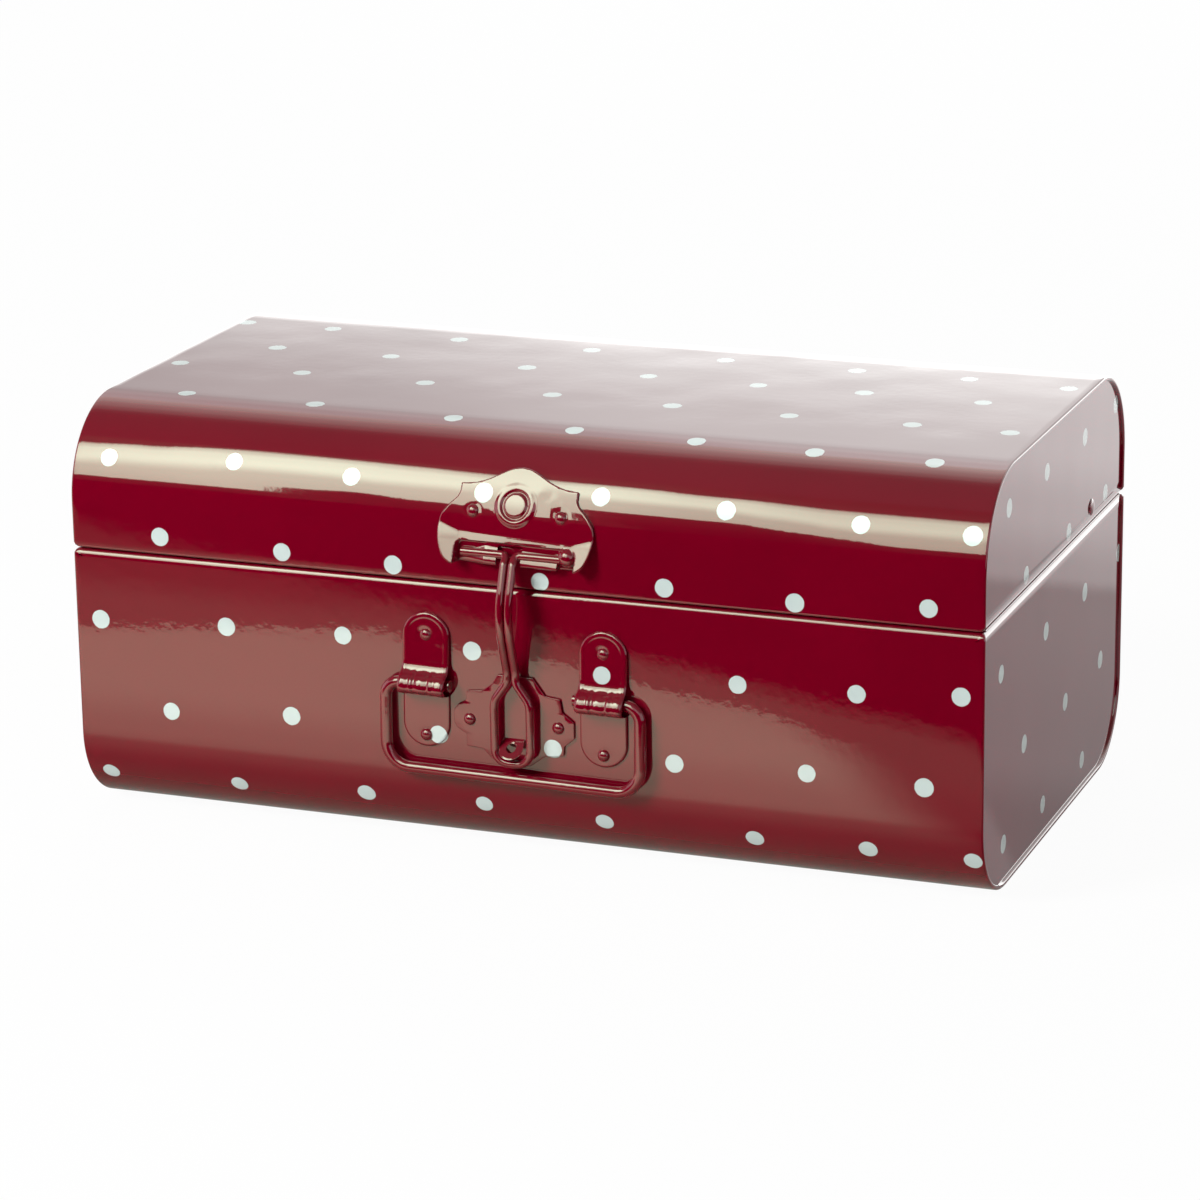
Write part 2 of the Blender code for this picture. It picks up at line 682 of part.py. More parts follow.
def hasp_path():
    """The hasp's wire from its left end through both legs and the loop to its right end."""
    leg_x = HASP_WIRE_RADIUS + HASP_WIRE_GAP / 2
    loop_proud = PLATE_BACK + PLATE + HASP_LOOP_GAP + HASP_WIRE_RADIUS
    root = HASP_PIVOT_PROUD
    neck = HASP_NECK_RISE - HASP_REACH
    right = [
        (HASP_END_X, 0, 0),
        (leg_x, 0, 0),
        (leg_x, root - HASP_ROOT_PROUD, -HASP_ROOT_DROP),
        (leg_x, root - HASP_BOW_PROUD, neck * HASP_BOW_SHARE),
        (leg_x, root - loop_proud, neck),
        (leg_x, root - loop_proud, HASP_LOOP_TOP_RISE - HASP_REACH),
        (HASP_LOOP_HALF_WIDTH, root - loop_proud, HASP_SHOULDER_RISE - HASP_REACH),
        (HASP_LOOP_HALF_WIDTH, root - loop_proud, -HASP_REACH),
    ]
    radii = [
        HASP_ROOT_BEND,
        HASP_HEEL_BEND,
        HASP_BOW_BEND,
        HASP_NECK_BEND,
        HASP_THROAT_BEND,
        HASP_SHOULDER_BEND,
        HASP_LOOP_BEND,
    ]
    left = [(-x, y, z) for x, y, z in right]
    return round_corners(left + right[::-1], radii + radii[::-1], HASP_BEND_STEPS)


def hasp_link():
    """The hasp's doubled wire, hanging over the catch plate's ear."""
    pivot = (0, -HALF_DEPTH - HASP_PIVOT_PROUD, HASP_PIVOT_Z)
    link = wire("hasp_link", hasp_path(), HASP_WIRE_RADIUS, pivot, HASP_WIRE_RESOLUTION)
    enamel(link)
    return link


def padlock_ear():
    """The ear that stands out of the catch plate, with its hole, ready to be joined."""
    reach = PLATE_MIDDLE + EAR_REACH
    tip = arc((0, reach - EAR_HALF_WIDTH), EAR_HALF_WIDTH, 0, 180, TIP_STEPS)
    outline = [(EAR_HALF_WIDTH, PLATE_MIDDLE)] + tip + [(-EAR_HALF_WIDTH, PLATE_MIDDLE)]
    ear = slab("padlock_ear", outline, EAR_THICKNESS, (0, -HALF_DEPTH, EAR_Z), (pi, 0, 0))
    hole_place = (0, -HALF_DEPTH - reach + EAR_HALF_WIDTH, EAR_Z)
    hole = cylinder("padlock_hole", EAR_HOLE_RADIUS, EAR_THICKNESS + CUT_OVERRUN, hole_place, (0, 0, 0))
    combine(ear, [hole], "DIFFERENCE")
    return ear


def catch_plate():
    """The stepped plate on the base with the padlock ear."""
    outline = shared_outline(CATCH_SHARES, CATCH_HALF_WIDTH, CATCH_BOTTOM_Z, CATCH_TOP_Z)
    place = (0, -HALF_DEPTH - PLATE_MIDDLE, 0)
    plate = slab("catch_plate", outline, PLATE, place, FACING_FRONT)
    combine(plate, holes_for("catch_plate", "catch_plate"), "DIFFERENCE")
    combine(plate, [padlock_ear()], "UNION")
    enamel(plate)
    smooth(plate)
    return plate


def handle_bracket(side_name, side):
    """A bracket with rounded ends and a pressed barrel for the handle's wire."""
    name = "bracket_" + side_name
    x = side * BRACKET_X
    outline = stadium(BRACKET_HALF_WIDTH, BRACKET_BOTTOM_Z, BRACKET_TOP_Z)
    bracket = slab(name, outline, PLATE, (x, -HALF_DEPTH - PLATE_MIDDLE, 0), FACING_FRONT)
    axis = (x, -HALF_DEPTH - PLATE_MIDDLE, HANDLE_PIVOT_Z)
    length = 2 * (BRACKET_HALF_WIDTH - BRACKET_BARREL_SET_BACK)
    steps = BRACKET_BARREL_STEPS
    outside = cylinder(name + "_barrel", BRACKET_BARREL_RADIUS, length, axis, ALONG_X, steps)
    combine(bracket, [outside], "UNION")
    bore_length = 2 * (BRACKET_HALF_WIDTH + CUT_OVERRUN)
    inside = BRACKET_BARREL_RADIUS - PLATE
    bore = cylinder(name + "_bore", inside, bore_length, axis, ALONG_X, steps)
    back_size = (bore_length, 2 * BRACKET_BARREL_RADIUS, 2 * BRACKET_BARREL_RADIUS + CUT_OVERRUN)
    back_place = (x, -HALF_DEPTH - PLATE_BACK + BRACKET_BARREL_RADIUS, HANDLE_PIVOT_Z)
    back = box(name + "_back", back_size, back_place)
    combine(bracket, [bore, back, *holes_for(name, name)], "DIFFERENCE")
    enamel(bracket)
    smooth(bracket)
    return bracket


def handle_bail():
    """The drop handle: a wire bail that turns in the two brackets and hangs down."""
    right = [
        (HANDLE_END_X, 0, 0),
        (HANDLE_HALF_WIDTH, 0, 0),
        (HANDLE_HALF_WIDTH, 0, -HANDLE_DROP),
    ]
    radii = [HANDLE_TOP_BEND, HANDLE_CORNER_BEND]
    left = [(-x, y, z) for x, y, z in right]
    path = round_corners(left + right[::-1], radii + radii[::-1], HANDLE_BEND_STEPS)
    pivot = (0, -HALF_DEPTH - HANDLE_PIVOT_PROUD, HANDLE_PIVOT_Z)
    bail = wire("handle_bail", path, HANDLE_WIRE_RADIUS, pivot, HANDLE_WIRE_RESOLUTION)
    enamel(bail)
    return bail


def hinge_leaf(side_name, side, half_name, way, knuckle_spans):
    """One leaf of a hinge: a plate, a tongue and a knuckle for each span, and the bore for the pin."""
    name = f"hinge_{side_name}_{half_name}_leaf"
    centre = side * HINGE_X
    height = HINGE_LEAF_HEIGHT - LEAF_SETBACK
    plate_z = SPLIT_HEIGHT + way * (LEAF_SETBACK + height / 2)
    plate_y = HALF_DEPTH + PLATE_MIDDLE
    leaf = box(name, (2 * HINGE_HALF_WIDTH, PLATE, height), (centre, plate_y, plate_z))
    joined = []
    for number, (low, high) in enumerate(knuckle_spans):
        x = centre + (low + high) / 2
        width = high - low
        tongue_height = LEAF_SETBACK + height / 2
        tongue_z = SPLIT_HEIGHT + way * tongue_height / 2
        size = (width - KNUCKLE_GAP / 4, PLATE - KNUCKLE_GAP / 4, tongue_height)
        joined.append(box(f"{name}_tongue_{number}", size, (x, plate_y, tongue_z)))
        axis = (x, HINGE_Y, SPLIT_HEIGHT)
        knuckle = cylinder(f"{name}_knuckle_{number}", KNUCKLE_RADIUS, width, axis, ALONG_X, KNUCKLE_STEPS)
        joined.append(knuckle)
    combine(leaf, joined, "UNION")
    bore_radius = HINGE_PIN_RADIUS + HINGE_PIN_CLEARANCE
    bore_length = 2 * (HINGE_HALF_WIDTH + CUT_OVERRUN)
    bore = cylinder(name + "_bore", bore_radius, bore_length, (centre, HINGE_Y, SPLIT_HEIGHT), ALONG_X)
    combine(leaf, [bore, *holes_for(name, name)], "DIFFERENCE")
    enamel(leaf)
    smooth(leaf)
    return leaf


def hinge_pin(side_name, side):
    """A hinge pin with a small head at each end."""
    reach = HINGE_HALF_WIDTH + KNUCKLE_GAP
    profile = [
        (0, reach + HINGE_PIN_HEAD),
        (HINGE_PIN_HEAD_RADIUS, reach + HINGE_PIN_HEAD),
        (HINGE_PIN_HEAD_RADIUS, reach),
        (HINGE_PIN_RADIUS, reach),
        (HINGE_PIN_RADIUS, -reach),
        (HINGE_PIN_HEAD_RADIUS, -reach),
        (HINGE_PIN_HEAD_RADIUS, -reach - HINGE_PIN_HEAD),
        (0, -reach - HINGE_PIN_HEAD),
    ]
    place = (side * HINGE_X, HINGE_Y, SPLIT_HEIGHT)
    pin = turned(f"hinge_{side_name}_pin", profile, place, ALONG_X)
    enamel(pin)
    return pin


def hinge(side_name, side):
    """A butt hinge: the lid's knuckle between the base's two, on one pin."""
    middle = KNUCKLE_MIDDLE_HALF_WIDTH
    outer = HINGE_HALF_WIDTH
    inner = middle + KNUCKLE_GAP
    hinge_leaf(side_name, side, "lid", 1, [(-middle, middle)])
    hinge_leaf(side_name, side, "base", -1, [(-outer, -inner), (inner, outer)])
    hinge_pin(side_name, side)


def stay_chord(lid_deg):
    """The distance from the stay's pivot to its stud at a lid angle."""
    half_angle = atan(STAY_PIVOT_RISE / STAY_REACH) + radians(lid_deg) / 2
    return 2 * STAY_SWING_RADIUS * sin(half_angle)


def slot_outline(half_width, near, far, steps=TIP_STEPS):
    """An outline with round ends between two centres that lie down its length."""
    upper = arc((0, -near), half_width, 0, 180, steps)
    lower = arc((0, -far), half_width, 180, 360, steps)
    return upper + lower


def stay_face_x():
    """The distance from the middle of the case to a stay's outer face."""
    return PANEL_FACE_X - SHEET - STAY_STANDOFF


def lid_stay(side_name, side):
    """A slotted link that turns on the lid's rivet and slides on the base's stud."""
    far = stay_chord(LID_RANGE_DEG)
    near = stay_chord(0)
    x = side * (stay_face_x() - STAY_THICKNESS / 2)
    place = (x, STAY_Y, SPLIT_HEIGHT + STAY_PIVOT_RISE)
    name = "stay_" + side_name
    outline = slot_outline(STAY_HALF_WIDTH, 0, far)
    stay = slab(name, outline, STAY_THICKNESS, place, EXTRUDED_ALONG_X)
    hole_radius = STAY_PIN_RADIUS + STAY_PIN_CLEARANCE
    cut = STAY_THICKNESS + CUT_OVERRUN
    gap = slot_outline(hole_radius, near, far)
    slot = slab(name + "_slot", gap, cut, place, EXTRUDED_ALONG_X)
    hole = cylinder(name + "_hole", hole_radius, cut, place, ALONG_X)
    combine(stay, [slot, hole], "DIFFERENCE")
    zinc(stay)
    smooth(stay)
    return stay


def inner_stay_profile():
    """The part of a stay's pin inside the case, from its foot at the panel to its head."""
    inner_face = -SHEET
    foot = inner_face - SEAT_GAP
    shoulder = foot - STAY_FOOT
    head = inner_face - STAY_STANDOFF - STAY_THICKNESS - SEAT_GAP
    return [
        (STAY_HEAD_RADIUS, foot),
        (STAY_HEAD_RADIUS, shoulder),
        (STAY_PIN_RADIUS, shoulder),
        (STAY_PIN_RADIUS, head),
        (STAY_HEAD_RADIUS, head),
        (STAY_HEAD_RADIUS, head - STAY_HEAD),
        (0, head - STAY_HEAD),
    ]


def stay_rivet(side_name, side):
    """The rivet through the lid's end panel that carries a stay, with its domed head outside."""
    profile = dome(STAY_RIVET_HEAD_RADIUS, STAY_RIVET_HEAD_HEIGHT, SEAT_GAP)
    foot = -SHEET - SEAT_GAP
    profile += [(STAY_PIN_RADIUS, SEAT_GAP), (STAY_PIN_RADIUS, foot)]
    profile += inner_stay_profile()
    place = (side * PANEL_FACE_X, STAY_Y, SPLIT_HEIGHT + STAY_PIVOT_RISE)
    rivet_object = turned("stay_rivet_" + side_name, profile, place, (0, side * pi / 2, 0))
    enamel(rivet_object)
    return rivet_object


def stay_stud(side_name, side):
    """The stud on the inner face of the base's end panel that a stay's slot slides on."""
    profile = [(0, -SHEET - SEAT_GAP)] + inner_stay_profile()
    place = (side * PANEL_FACE_X, STAY_Y, SPLIT_HEIGHT - STAY_PIVOT_RISE)
    stud = turned("stay_stud_" + side_name, profile, place, (0, side * pi / 2, 0))
    zinc(stud)
    return stud


def stay_rivet_hole(side_name, side):
    """The cutter for the stay rivet's hole in the lid's end panel."""
    place = (side * PANEL_FACE_X, STAY_Y, SPLIT_HEIGHT + STAY_PIVOT_RISE)
    radius = STAY_PIN_RADIUS + STAY_PIN_CLEARANCE
    length = 2 * (SHEET + CUT_OVERRUN)
    return cylinder(f"stay_rivet_hole_{side_name}", radius, length, place, ALONG_X)


def build():
    """Make every piece of the suitcase."""
    wrap(BASE, holes_for("base_wrap", "base"))
    wrap(LID, holes_for("lid_wrap", "lid"))
    hasp_plate()
    hasp_link()
    catch_plate()
    handle_bail()
    for name, _half, _plate, place, rotation in rivet_places():
        rivet(name, place, rotation)
    for side_name, side in SIDES:
        end_panel(BASE, side_name, side)
        end_panel(LID, side_name, side, [stay_rivet_hole(side_name, side)])
        handle_bracket(side_name, side)
        hinge(side_name, side)
        lid_stay(side_name, side)
        stay_rivet(side_name, side)
        stay_stud(side_name, side)


build()
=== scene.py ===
"""The looks of a small sheet-steel suitcase: red stove enamel with pale polka dots, pressed plates and bent wire."""

import logging
import random
from collections.abc import Callable, Sequence
from dataclasses import dataclass, field
from enum import Enum
from math import acos, asin, atan, atan2, cos, hypot, pi, radians, sin, sqrt, tan

import bmesh
import bpy
import numpy as np
from mathutils import Matrix, Vector


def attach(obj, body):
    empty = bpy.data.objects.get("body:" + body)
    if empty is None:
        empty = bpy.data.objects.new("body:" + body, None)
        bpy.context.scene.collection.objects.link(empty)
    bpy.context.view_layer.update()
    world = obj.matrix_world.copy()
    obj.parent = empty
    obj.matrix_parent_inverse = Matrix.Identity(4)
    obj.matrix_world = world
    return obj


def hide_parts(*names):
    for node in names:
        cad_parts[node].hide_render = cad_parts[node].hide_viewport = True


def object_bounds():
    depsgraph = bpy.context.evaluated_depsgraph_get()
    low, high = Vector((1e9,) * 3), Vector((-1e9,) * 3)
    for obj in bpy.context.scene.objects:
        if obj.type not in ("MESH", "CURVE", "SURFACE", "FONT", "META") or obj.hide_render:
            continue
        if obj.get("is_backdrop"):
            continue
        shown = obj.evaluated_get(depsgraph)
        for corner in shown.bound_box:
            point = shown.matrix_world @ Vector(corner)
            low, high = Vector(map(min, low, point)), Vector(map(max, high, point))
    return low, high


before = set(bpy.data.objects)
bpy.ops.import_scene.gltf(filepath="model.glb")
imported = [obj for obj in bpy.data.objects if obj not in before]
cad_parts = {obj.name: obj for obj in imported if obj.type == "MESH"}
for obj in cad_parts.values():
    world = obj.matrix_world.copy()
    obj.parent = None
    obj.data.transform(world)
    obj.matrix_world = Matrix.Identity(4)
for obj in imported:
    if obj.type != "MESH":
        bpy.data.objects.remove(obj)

LOG = logging.getLogger("metal_suitcase")
MM = 0.001
Point2 = tuple[float, float]
Point3 = tuple[float, float, float]

HALF_WIDTH = 0.180
HALF_DEPTH = 0.100
SPLIT_Z = 0.106
SHEET = 0.0008
PLATE_BACK = 0.0003
PLATE = 0.0008
PLATE_FACE = PLATE_BACK + PLATE
SIDES = (("left", -1), ("right", 1))


class Body(Enum):
    """The moving bodies that pieces ride on."""

    BASE = "base"
    LID = "lid"
    HASP = "hasp"
    HANDLE = "handle"
    STAY_LEFT = "stay_left"
    STAY_RIGHT = "stay_right"


class Slot(Enum):
    """The record's material slots."""

    ENAMEL = "red_enamel"
    ZINC = "zinc_plated_steel"


def linear(hex_colour: str) -> tuple[float, float, float, float]:
    """Turn an sRGB hex colour into linear light.

    Args:
        hex_colour: The colour as "#RRGGBB".

    Returns:
        Red, green, blue and an alpha of 1.
    """
    parts = [int(hex_colour[i : i + 2], 16) / 255 for i in (1, 3, 5)]
    return (*(c / 12.92 if c <= 0.04045 else ((c + 0.055) / 1.055) ** 2.4 for c in parts), 1.0)


def add_node(tree: bpy.types.NodeTree, kind: str, settings: dict | None = None, **inputs: object) -> bpy.types.Node:
    """Add a node with its settings, values and links.

    Args:
        tree: The node tree.
        kind: The node's type name.
        settings: Properties of the node.
        inputs: Socket names, with _ for a space, or i0, i1 for a place in the list; a socket makes a link.

    Returns:
        The new node.
    """
    node = tree.nodes.new(kind)
    for key, value in (settings or {}).items():
        setattr(node, key, value)
    for key, value in inputs.items():
        socket = node.inputs[int(key[1:])] if key[0] == "i" and key[1:].isdigit() else node.inputs[key.replace("_", " ")]
        if isinstance(value, bpy.types.NodeSocket):
            tree.links.new(value, socket)
        else:
            socket.default_value = value
    return node


def new_material(name: str) -> tuple[bpy.types.Material, bpy.types.NodeTree]:
    """Make an empty node material.

    Args:
        name: The material's name.

    Returns:
        The material and its node tree.
    """
    material = bpy.data.materials.new(name)
    material.use_nodes = True
    material.node_tree.nodes.clear()
    return material, material.node_tree


@dataclass(frozen=True)
class StoveEnamel:
    """Red stove enamel, sprayed and baked: a deep colour under a hard clear gloss."""

    name: str
    dotted: bool = False
    colour: str = "#7C001D"
    deep_colour: str = "#6F0019"
    dot_colour: str = "#CFDDD9"
    dot_radius_mm: float = 3.52
    peel_mm: float = 0.9
    ripple_mm: float = 3.8
    warp_mm: float = 45.0

    def bump(self, tree: bpy.types.NodeTree, place: bpy.types.NodeSocket) -> bpy.types.NodeSocket:
        """Stack the gloss's fine orange peel, the spray's ripples and the sheet's slow waves.

        Args:
            tree: The node tree.
            place: Object coordinates.

        Returns:
            The normal socket.
        """
        normal = None
        parts = add_node(tree, "ShaderNodeSeparateXYZ", i0=place).outputs
        aside = add_node(tree, "ShaderNodeMath", {"operation": "ABSOLUTE"}, i0=parts["X"]).outputs[0]
        high = add_node(tree, "ShaderNodeMapRange", i0=parts["Z"], i1=0.11, i2=0.14, i3=1.0, i4=0.2).outputs[0]
        outer = add_node(tree, "ShaderNodeMapRange", i0=aside, i1=0.170, i2=0.178, i3=1.0, i4=0.2).outputs[0]
        drawn = add_node(tree, "ShaderNodeMath", {"operation": "MULTIPLY"}, i0=high, i1=outer).outputs[0]
        for size_mm, height, detail in ((self.warp_mm, 150e-6, 1.0), (self.ripple_mm, 26e-6, 2.0), (self.peel_mm, 0.4e-6, 0.0)):
            noise = add_node(tree, "ShaderNodeTexNoise", Vector=place, Scale=1 / (size_mm * MM), Detail=detail).outputs["Fac"]
            if size_mm == self.ripple_mm:
                noise = add_node(tree, "ShaderNodeMath", {"operation": "MULTIPLY"}, i0=noise, i1=drawn).outputs[0]
            links = {"Normal": normal} if normal else {}
            normal = add_node(tree, "ShaderNodeBump", Height=noise, Distance=height, **links).outputs[0]
        return normal

    def dots(self, tree: bpy.types.NodeTree, place: bpy.types.NodeSocket, red: bpy.types.NodeSocket) -> bpy.types.NodeSocket:
        """Lay the pale printed dots over the red.

        Args:
            tree: The node tree.
            place: Object coordinates.
            red: The red under the dots.

        Returns:
            The colour socket.
        """
        offset = add_node(tree, "ShaderNodeUVMap", {"uv_map": "dot_place"})
        away = add_node(tree, "ShaderNodeVectorMath", {"operation": "LENGTH"}, i0=offset.outputs[0])
        ragged = add_node(tree, "ShaderNodeTexNoise", Vector=place, Scale=600.0, Detail=1.0)
        wobble = add_node(tree, "ShaderNodeMath", {"operation": "MULTIPLY_ADD"}, i0=ragged.outputs["Fac"], i1=0.26, i2=-0.13)
        edge = add_node(tree, "ShaderNodeMath", {"operation": "ADD"}, i0=away.outputs["Value"], i1=wobble.outputs[0])
        inside = add_node(
            tree, "ShaderNodeMapRange", i0=edge.outputs[0], i1=self.dot_radius_mm + 0.10, i2=self.dot_radius_mm - 0.10
        )
        mix = add_node(tree, "ShaderNodeMix", {"data_type": "RGBA"}, i0=inside.outputs[0], i6=red)
        mix.inputs[7].default_value = linear(self.dot_colour)
        return mix.outputs[2]

    def build(self) -> bpy.types.Material:
        """Make the material.

        Returns:
            The enamel.
        """
        material, tree = new_material(self.name)
        place = add_node(tree, "ShaderNodeTexCoord").outputs["Object"]
        # Slow changes of depth in the sprayed colour, and a faint bloom in its gloss
        cloud = add_node(tree, "ShaderNodeTexNoise", Vector=place, Scale=14.0, Detail=3.0)
        red = add_node(tree, "ShaderNodeMix", {"data_type": "RGBA"}, i0=cloud.outputs["Fac"])
        red.inputs[6].default_value = linear(self.deep_colour)
        red.inputs[7].default_value = linear(self.colour)
        colour = self.dots(tree, place, red.outputs[2]) if self.dotted else red.outputs[2]
        bloom = add_node(tree, "ShaderNodeMapRange", i0=cloud.outputs["Fac"], i1=0.2, i2=0.8, i3=0.02, i4=0.045)
        normal = self.bump(tree, place)
        shader = add_node(
            tree, "ShaderNodeBsdfPrincipled", Base_Color=colour, Roughness=bloom.outputs[0], Normal=normal,
            Coat_Weight=1.0, Coat_Roughness=0.03, Coat_Normal=normal,
        )
        output = add_node(tree, "ShaderNodeOutputMaterial", Surface=shader.outputs[0])
        output.location = (400, 0)
        return material


@dataclass(frozen=True)
class ZincPlate:
    """Zinc-plated steel strip, rolled and barrel-plated: pale metal with fine brushing along it."""

    name: str = "zinc_plated_rolled_strip"
    colour: str = "#C3C4C2"
    shade_colour: str = "#A6A9AA"

    def build(self) -> bpy.types.Material:
        """Make the material.

        Returns:
            The plated steel.
        """
        material, tree = new_material(self.name)
        place = add_node(tree, "ShaderNodeTexCoord").outputs["Object"]
        # Crystal-like mottling of the plating, and brush lines along the strip
        mottle = add_node(tree, "ShaderNodeTexVoronoi", Vector=place, Scale=900.0)
        lines = add_node(tree, "ShaderNodeMapping", i0=place, i3=(900.0, 5000.0, 500.0))
        brush = add_node(tree, "ShaderNodeTexNoise", Vector=lines.outputs[0], Scale=1.0, Detail=3.0)
        tint = add_node(tree, "ShaderNodeMix", {"data_type": "RGBA"}, i0=mottle.outputs["Distance"])
        tint.inputs[6].default_value = linear(self.colour)
        tint.inputs[7].default_value = linear(self.shade_colour)
        rough = add_node(tree, "ShaderNodeMapRange", i0=brush.outputs["Fac"], i3=0.26, i4=0.46)
        bump = add_node(tree, "ShaderNodeBump", Height=brush.outputs["Fac"], Distance=3e-6)
        shader = add_node(
            tree, "ShaderNodeBsdfPrincipled", Base_Color=tint.outputs[2], Metallic=1.0,
            Roughness=rough.outputs[0], Normal=bump.outputs[0],
        )
        add_node(tree, "ShaderNodeOutputMaterial", Surface=shader.outputs[0])
        return material


@dataclass
class Finishes:
    """The finishes that the pieces share."""

    dotted: bpy.types.Material = field(default_factory=lambda: StoveEnamel("stove_enamel_red_with_printed_dots", True).build())
    plain: bpy.types.Material = field(default_factory=lambda: StoveEnamel("stove_enamel_red_sprayed").build())
    zinc: bpy.types.Material = field(default_factory=lambda: ZincPlate().build())


class Draft:
    """Points and faces gathered before they become one mesh, with each point's place in the printed pattern."""

    def __init__(self) -> None:
        """Start empty."""
        self.points: list[Point3] = []
        self.pattern: list[Point2] = []
        self.faces: list[tuple[int, ...]] = []
        self.dotted: list[bool] = []

    def add(self, point: Sequence[float], pattern: Point2 = (0.0, 0.0)) -> int:
        """Add a point.

        Args:
            point: Its place in metres.
            pattern: Its place in the pattern in millimetres.

        Returns:
            Its number.
        """
        self.points.append(tuple(point))
        self.pattern.append(pattern)
        return len(self.points) - 1

    def face(self, *corners: int, dotted: bool = False) -> None:
        """Add a face, without repeated corners."""
        kept = [c for i, c in enumerate(corners) if c != corners[i - 1]]
        if len(kept) > 2:
            self.faces.append(tuple(kept))
            self.dotted.append(dotted)

    def strip(self, one: Sequence[int], other: Sequence[int], closed: bool = False, dotted: bool = False) -> None:
        """Join two rows of points with quads.

        Args:
            one: The first row.
            other: The second row, as long.
            closed: Whether the rows meet at their ends.
            dotted: Whether the dots are printed here.
        """
        count = len(one)
        for i in range(count if closed else count - 1):
            k = (i + 1) % count
            self.face(one[i], one[k], other[k], other[i], dotted=dotted)

    def build(self, name: str, dots: np.ndarray | None = None, sharp_deg: float = 40.0) -> bpy.types.Object:
        """Make the mesh object, with its faces outwards and its dot map.

        Args:
            name: The piece's name.
            dots: The dots' middles in millimetres, or None.
            sharp_deg: Edges sharper than this stay sharp.

        Returns:
            The object.
        """
        mesh = bpy.data.meshes.new(name)
        mesh.from_pydata(self.points, [], self.faces)
        shape = bmesh.new()
        shape.from_mesh(mesh)
        bmesh.ops.recalc_face_normals(shape, faces=shape.faces)
        shape.to_mesh(mesh)
        shape.free()
        if dots is not None:
            print_dots(mesh, np.array(self.pattern), np.array(self.dotted), dots)
        return finish_mesh(mesh, name, sharp_deg)


def print_dots(mesh: bpy.types.Mesh, pattern: np.ndarray, dotted: np.ndarray, dots: np.ndarray) -> None:
    """Write each corner's offset from its face's nearest dot to the UV map dot_place.

    Args:
        mesh: The mesh.
        pattern: Each point's place in the pattern in millimetres.
        dotted: Whether each face is printed.
        dots: The dots' middles in millimetres.
    """
    layer = mesh.uv_layers.new(name="dot_place")
    uv = np.full((len(mesh.loops), 2), 40.0)
    chance = random.Random(len(dots))
    sizes = [chance.uniform(0.96, 1.05) for _ in dots]
    for polygon in mesh.polygons:
        if dotted[polygon.index]:
            corners = pattern[list(polygon.vertices)]
            nearest = int(np.argmin(((dots - corners.mean(0)) ** 2).sum(1)))
            uv[polygon.loop_start : polygon.loop_start + polygon.loop_total] = (corners - dots[nearest]) * sizes[nearest]
    layer.data.foreach_set("uv", uv.ravel())


def finish_mesh(mesh: bpy.types.Mesh, name: str, sharp_deg: float = 40.0) -> bpy.types.Object:
    """Shade a mesh smooth up to an angle and put it in the scene.

    Args:
        mesh: The mesh.
        name: The object's name.
        sharp_deg: Edges sharper than this stay sharp.

    Returns:
        The object.
    """
    mesh.shade_smooth()
    mesh.set_sharp_from_angle(angle=radians(sharp_deg))
    obj = bpy.data.objects.new(name, mesh)
    bpy.context.scene.collection.objects.link(obj)
    return obj


def dress(obj: bpy.types.Object, body: Body, finish: Sequence[bpy.types.Material], nodes: Sequence[str] = ()) -> None:
    """Give a piece its finish, its body and the nodes that it stands for.

    Args:
        obj: The piece.
        body: The body that it rides on.
        finish: Its materials.
        nodes: The nodes that it replaces.
    """
    obj.data.materials.clear()
    for material in finish:
        obj.data.materials.append(material)
    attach(obj, body.value)
    if nodes:
        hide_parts(*nodes)
    LOG.info("%s: %d faces, on %s", obj.name, len(obj.data.polygons), body.value)


def spaced(low: float, high: float, step: float) -> list[float]:
    """Even stations from low to high, no further apart than step."""
    count = max(1, int(np.ceil((high - low) / step - 1e-9)))
    return [low + (high - low) * i / count for i in range(count + 1)]


def graded(half: float, step: float, edge: Sequence[float]) -> list[float]:
    """Stations from -half to half, close together at both edges.

    Args:
        half: Half the span.
        step: The step in the middle.
        edge: Distances from the edge, from the nearest on.

    Returns:
        The stations.
    """
    right = [half - e for e in edge if e < half * 0.6]
    inner = spaced(-right[-1], right[-1], step)
    return [-r for r in right] + inner[1:-1] + right[::-1]


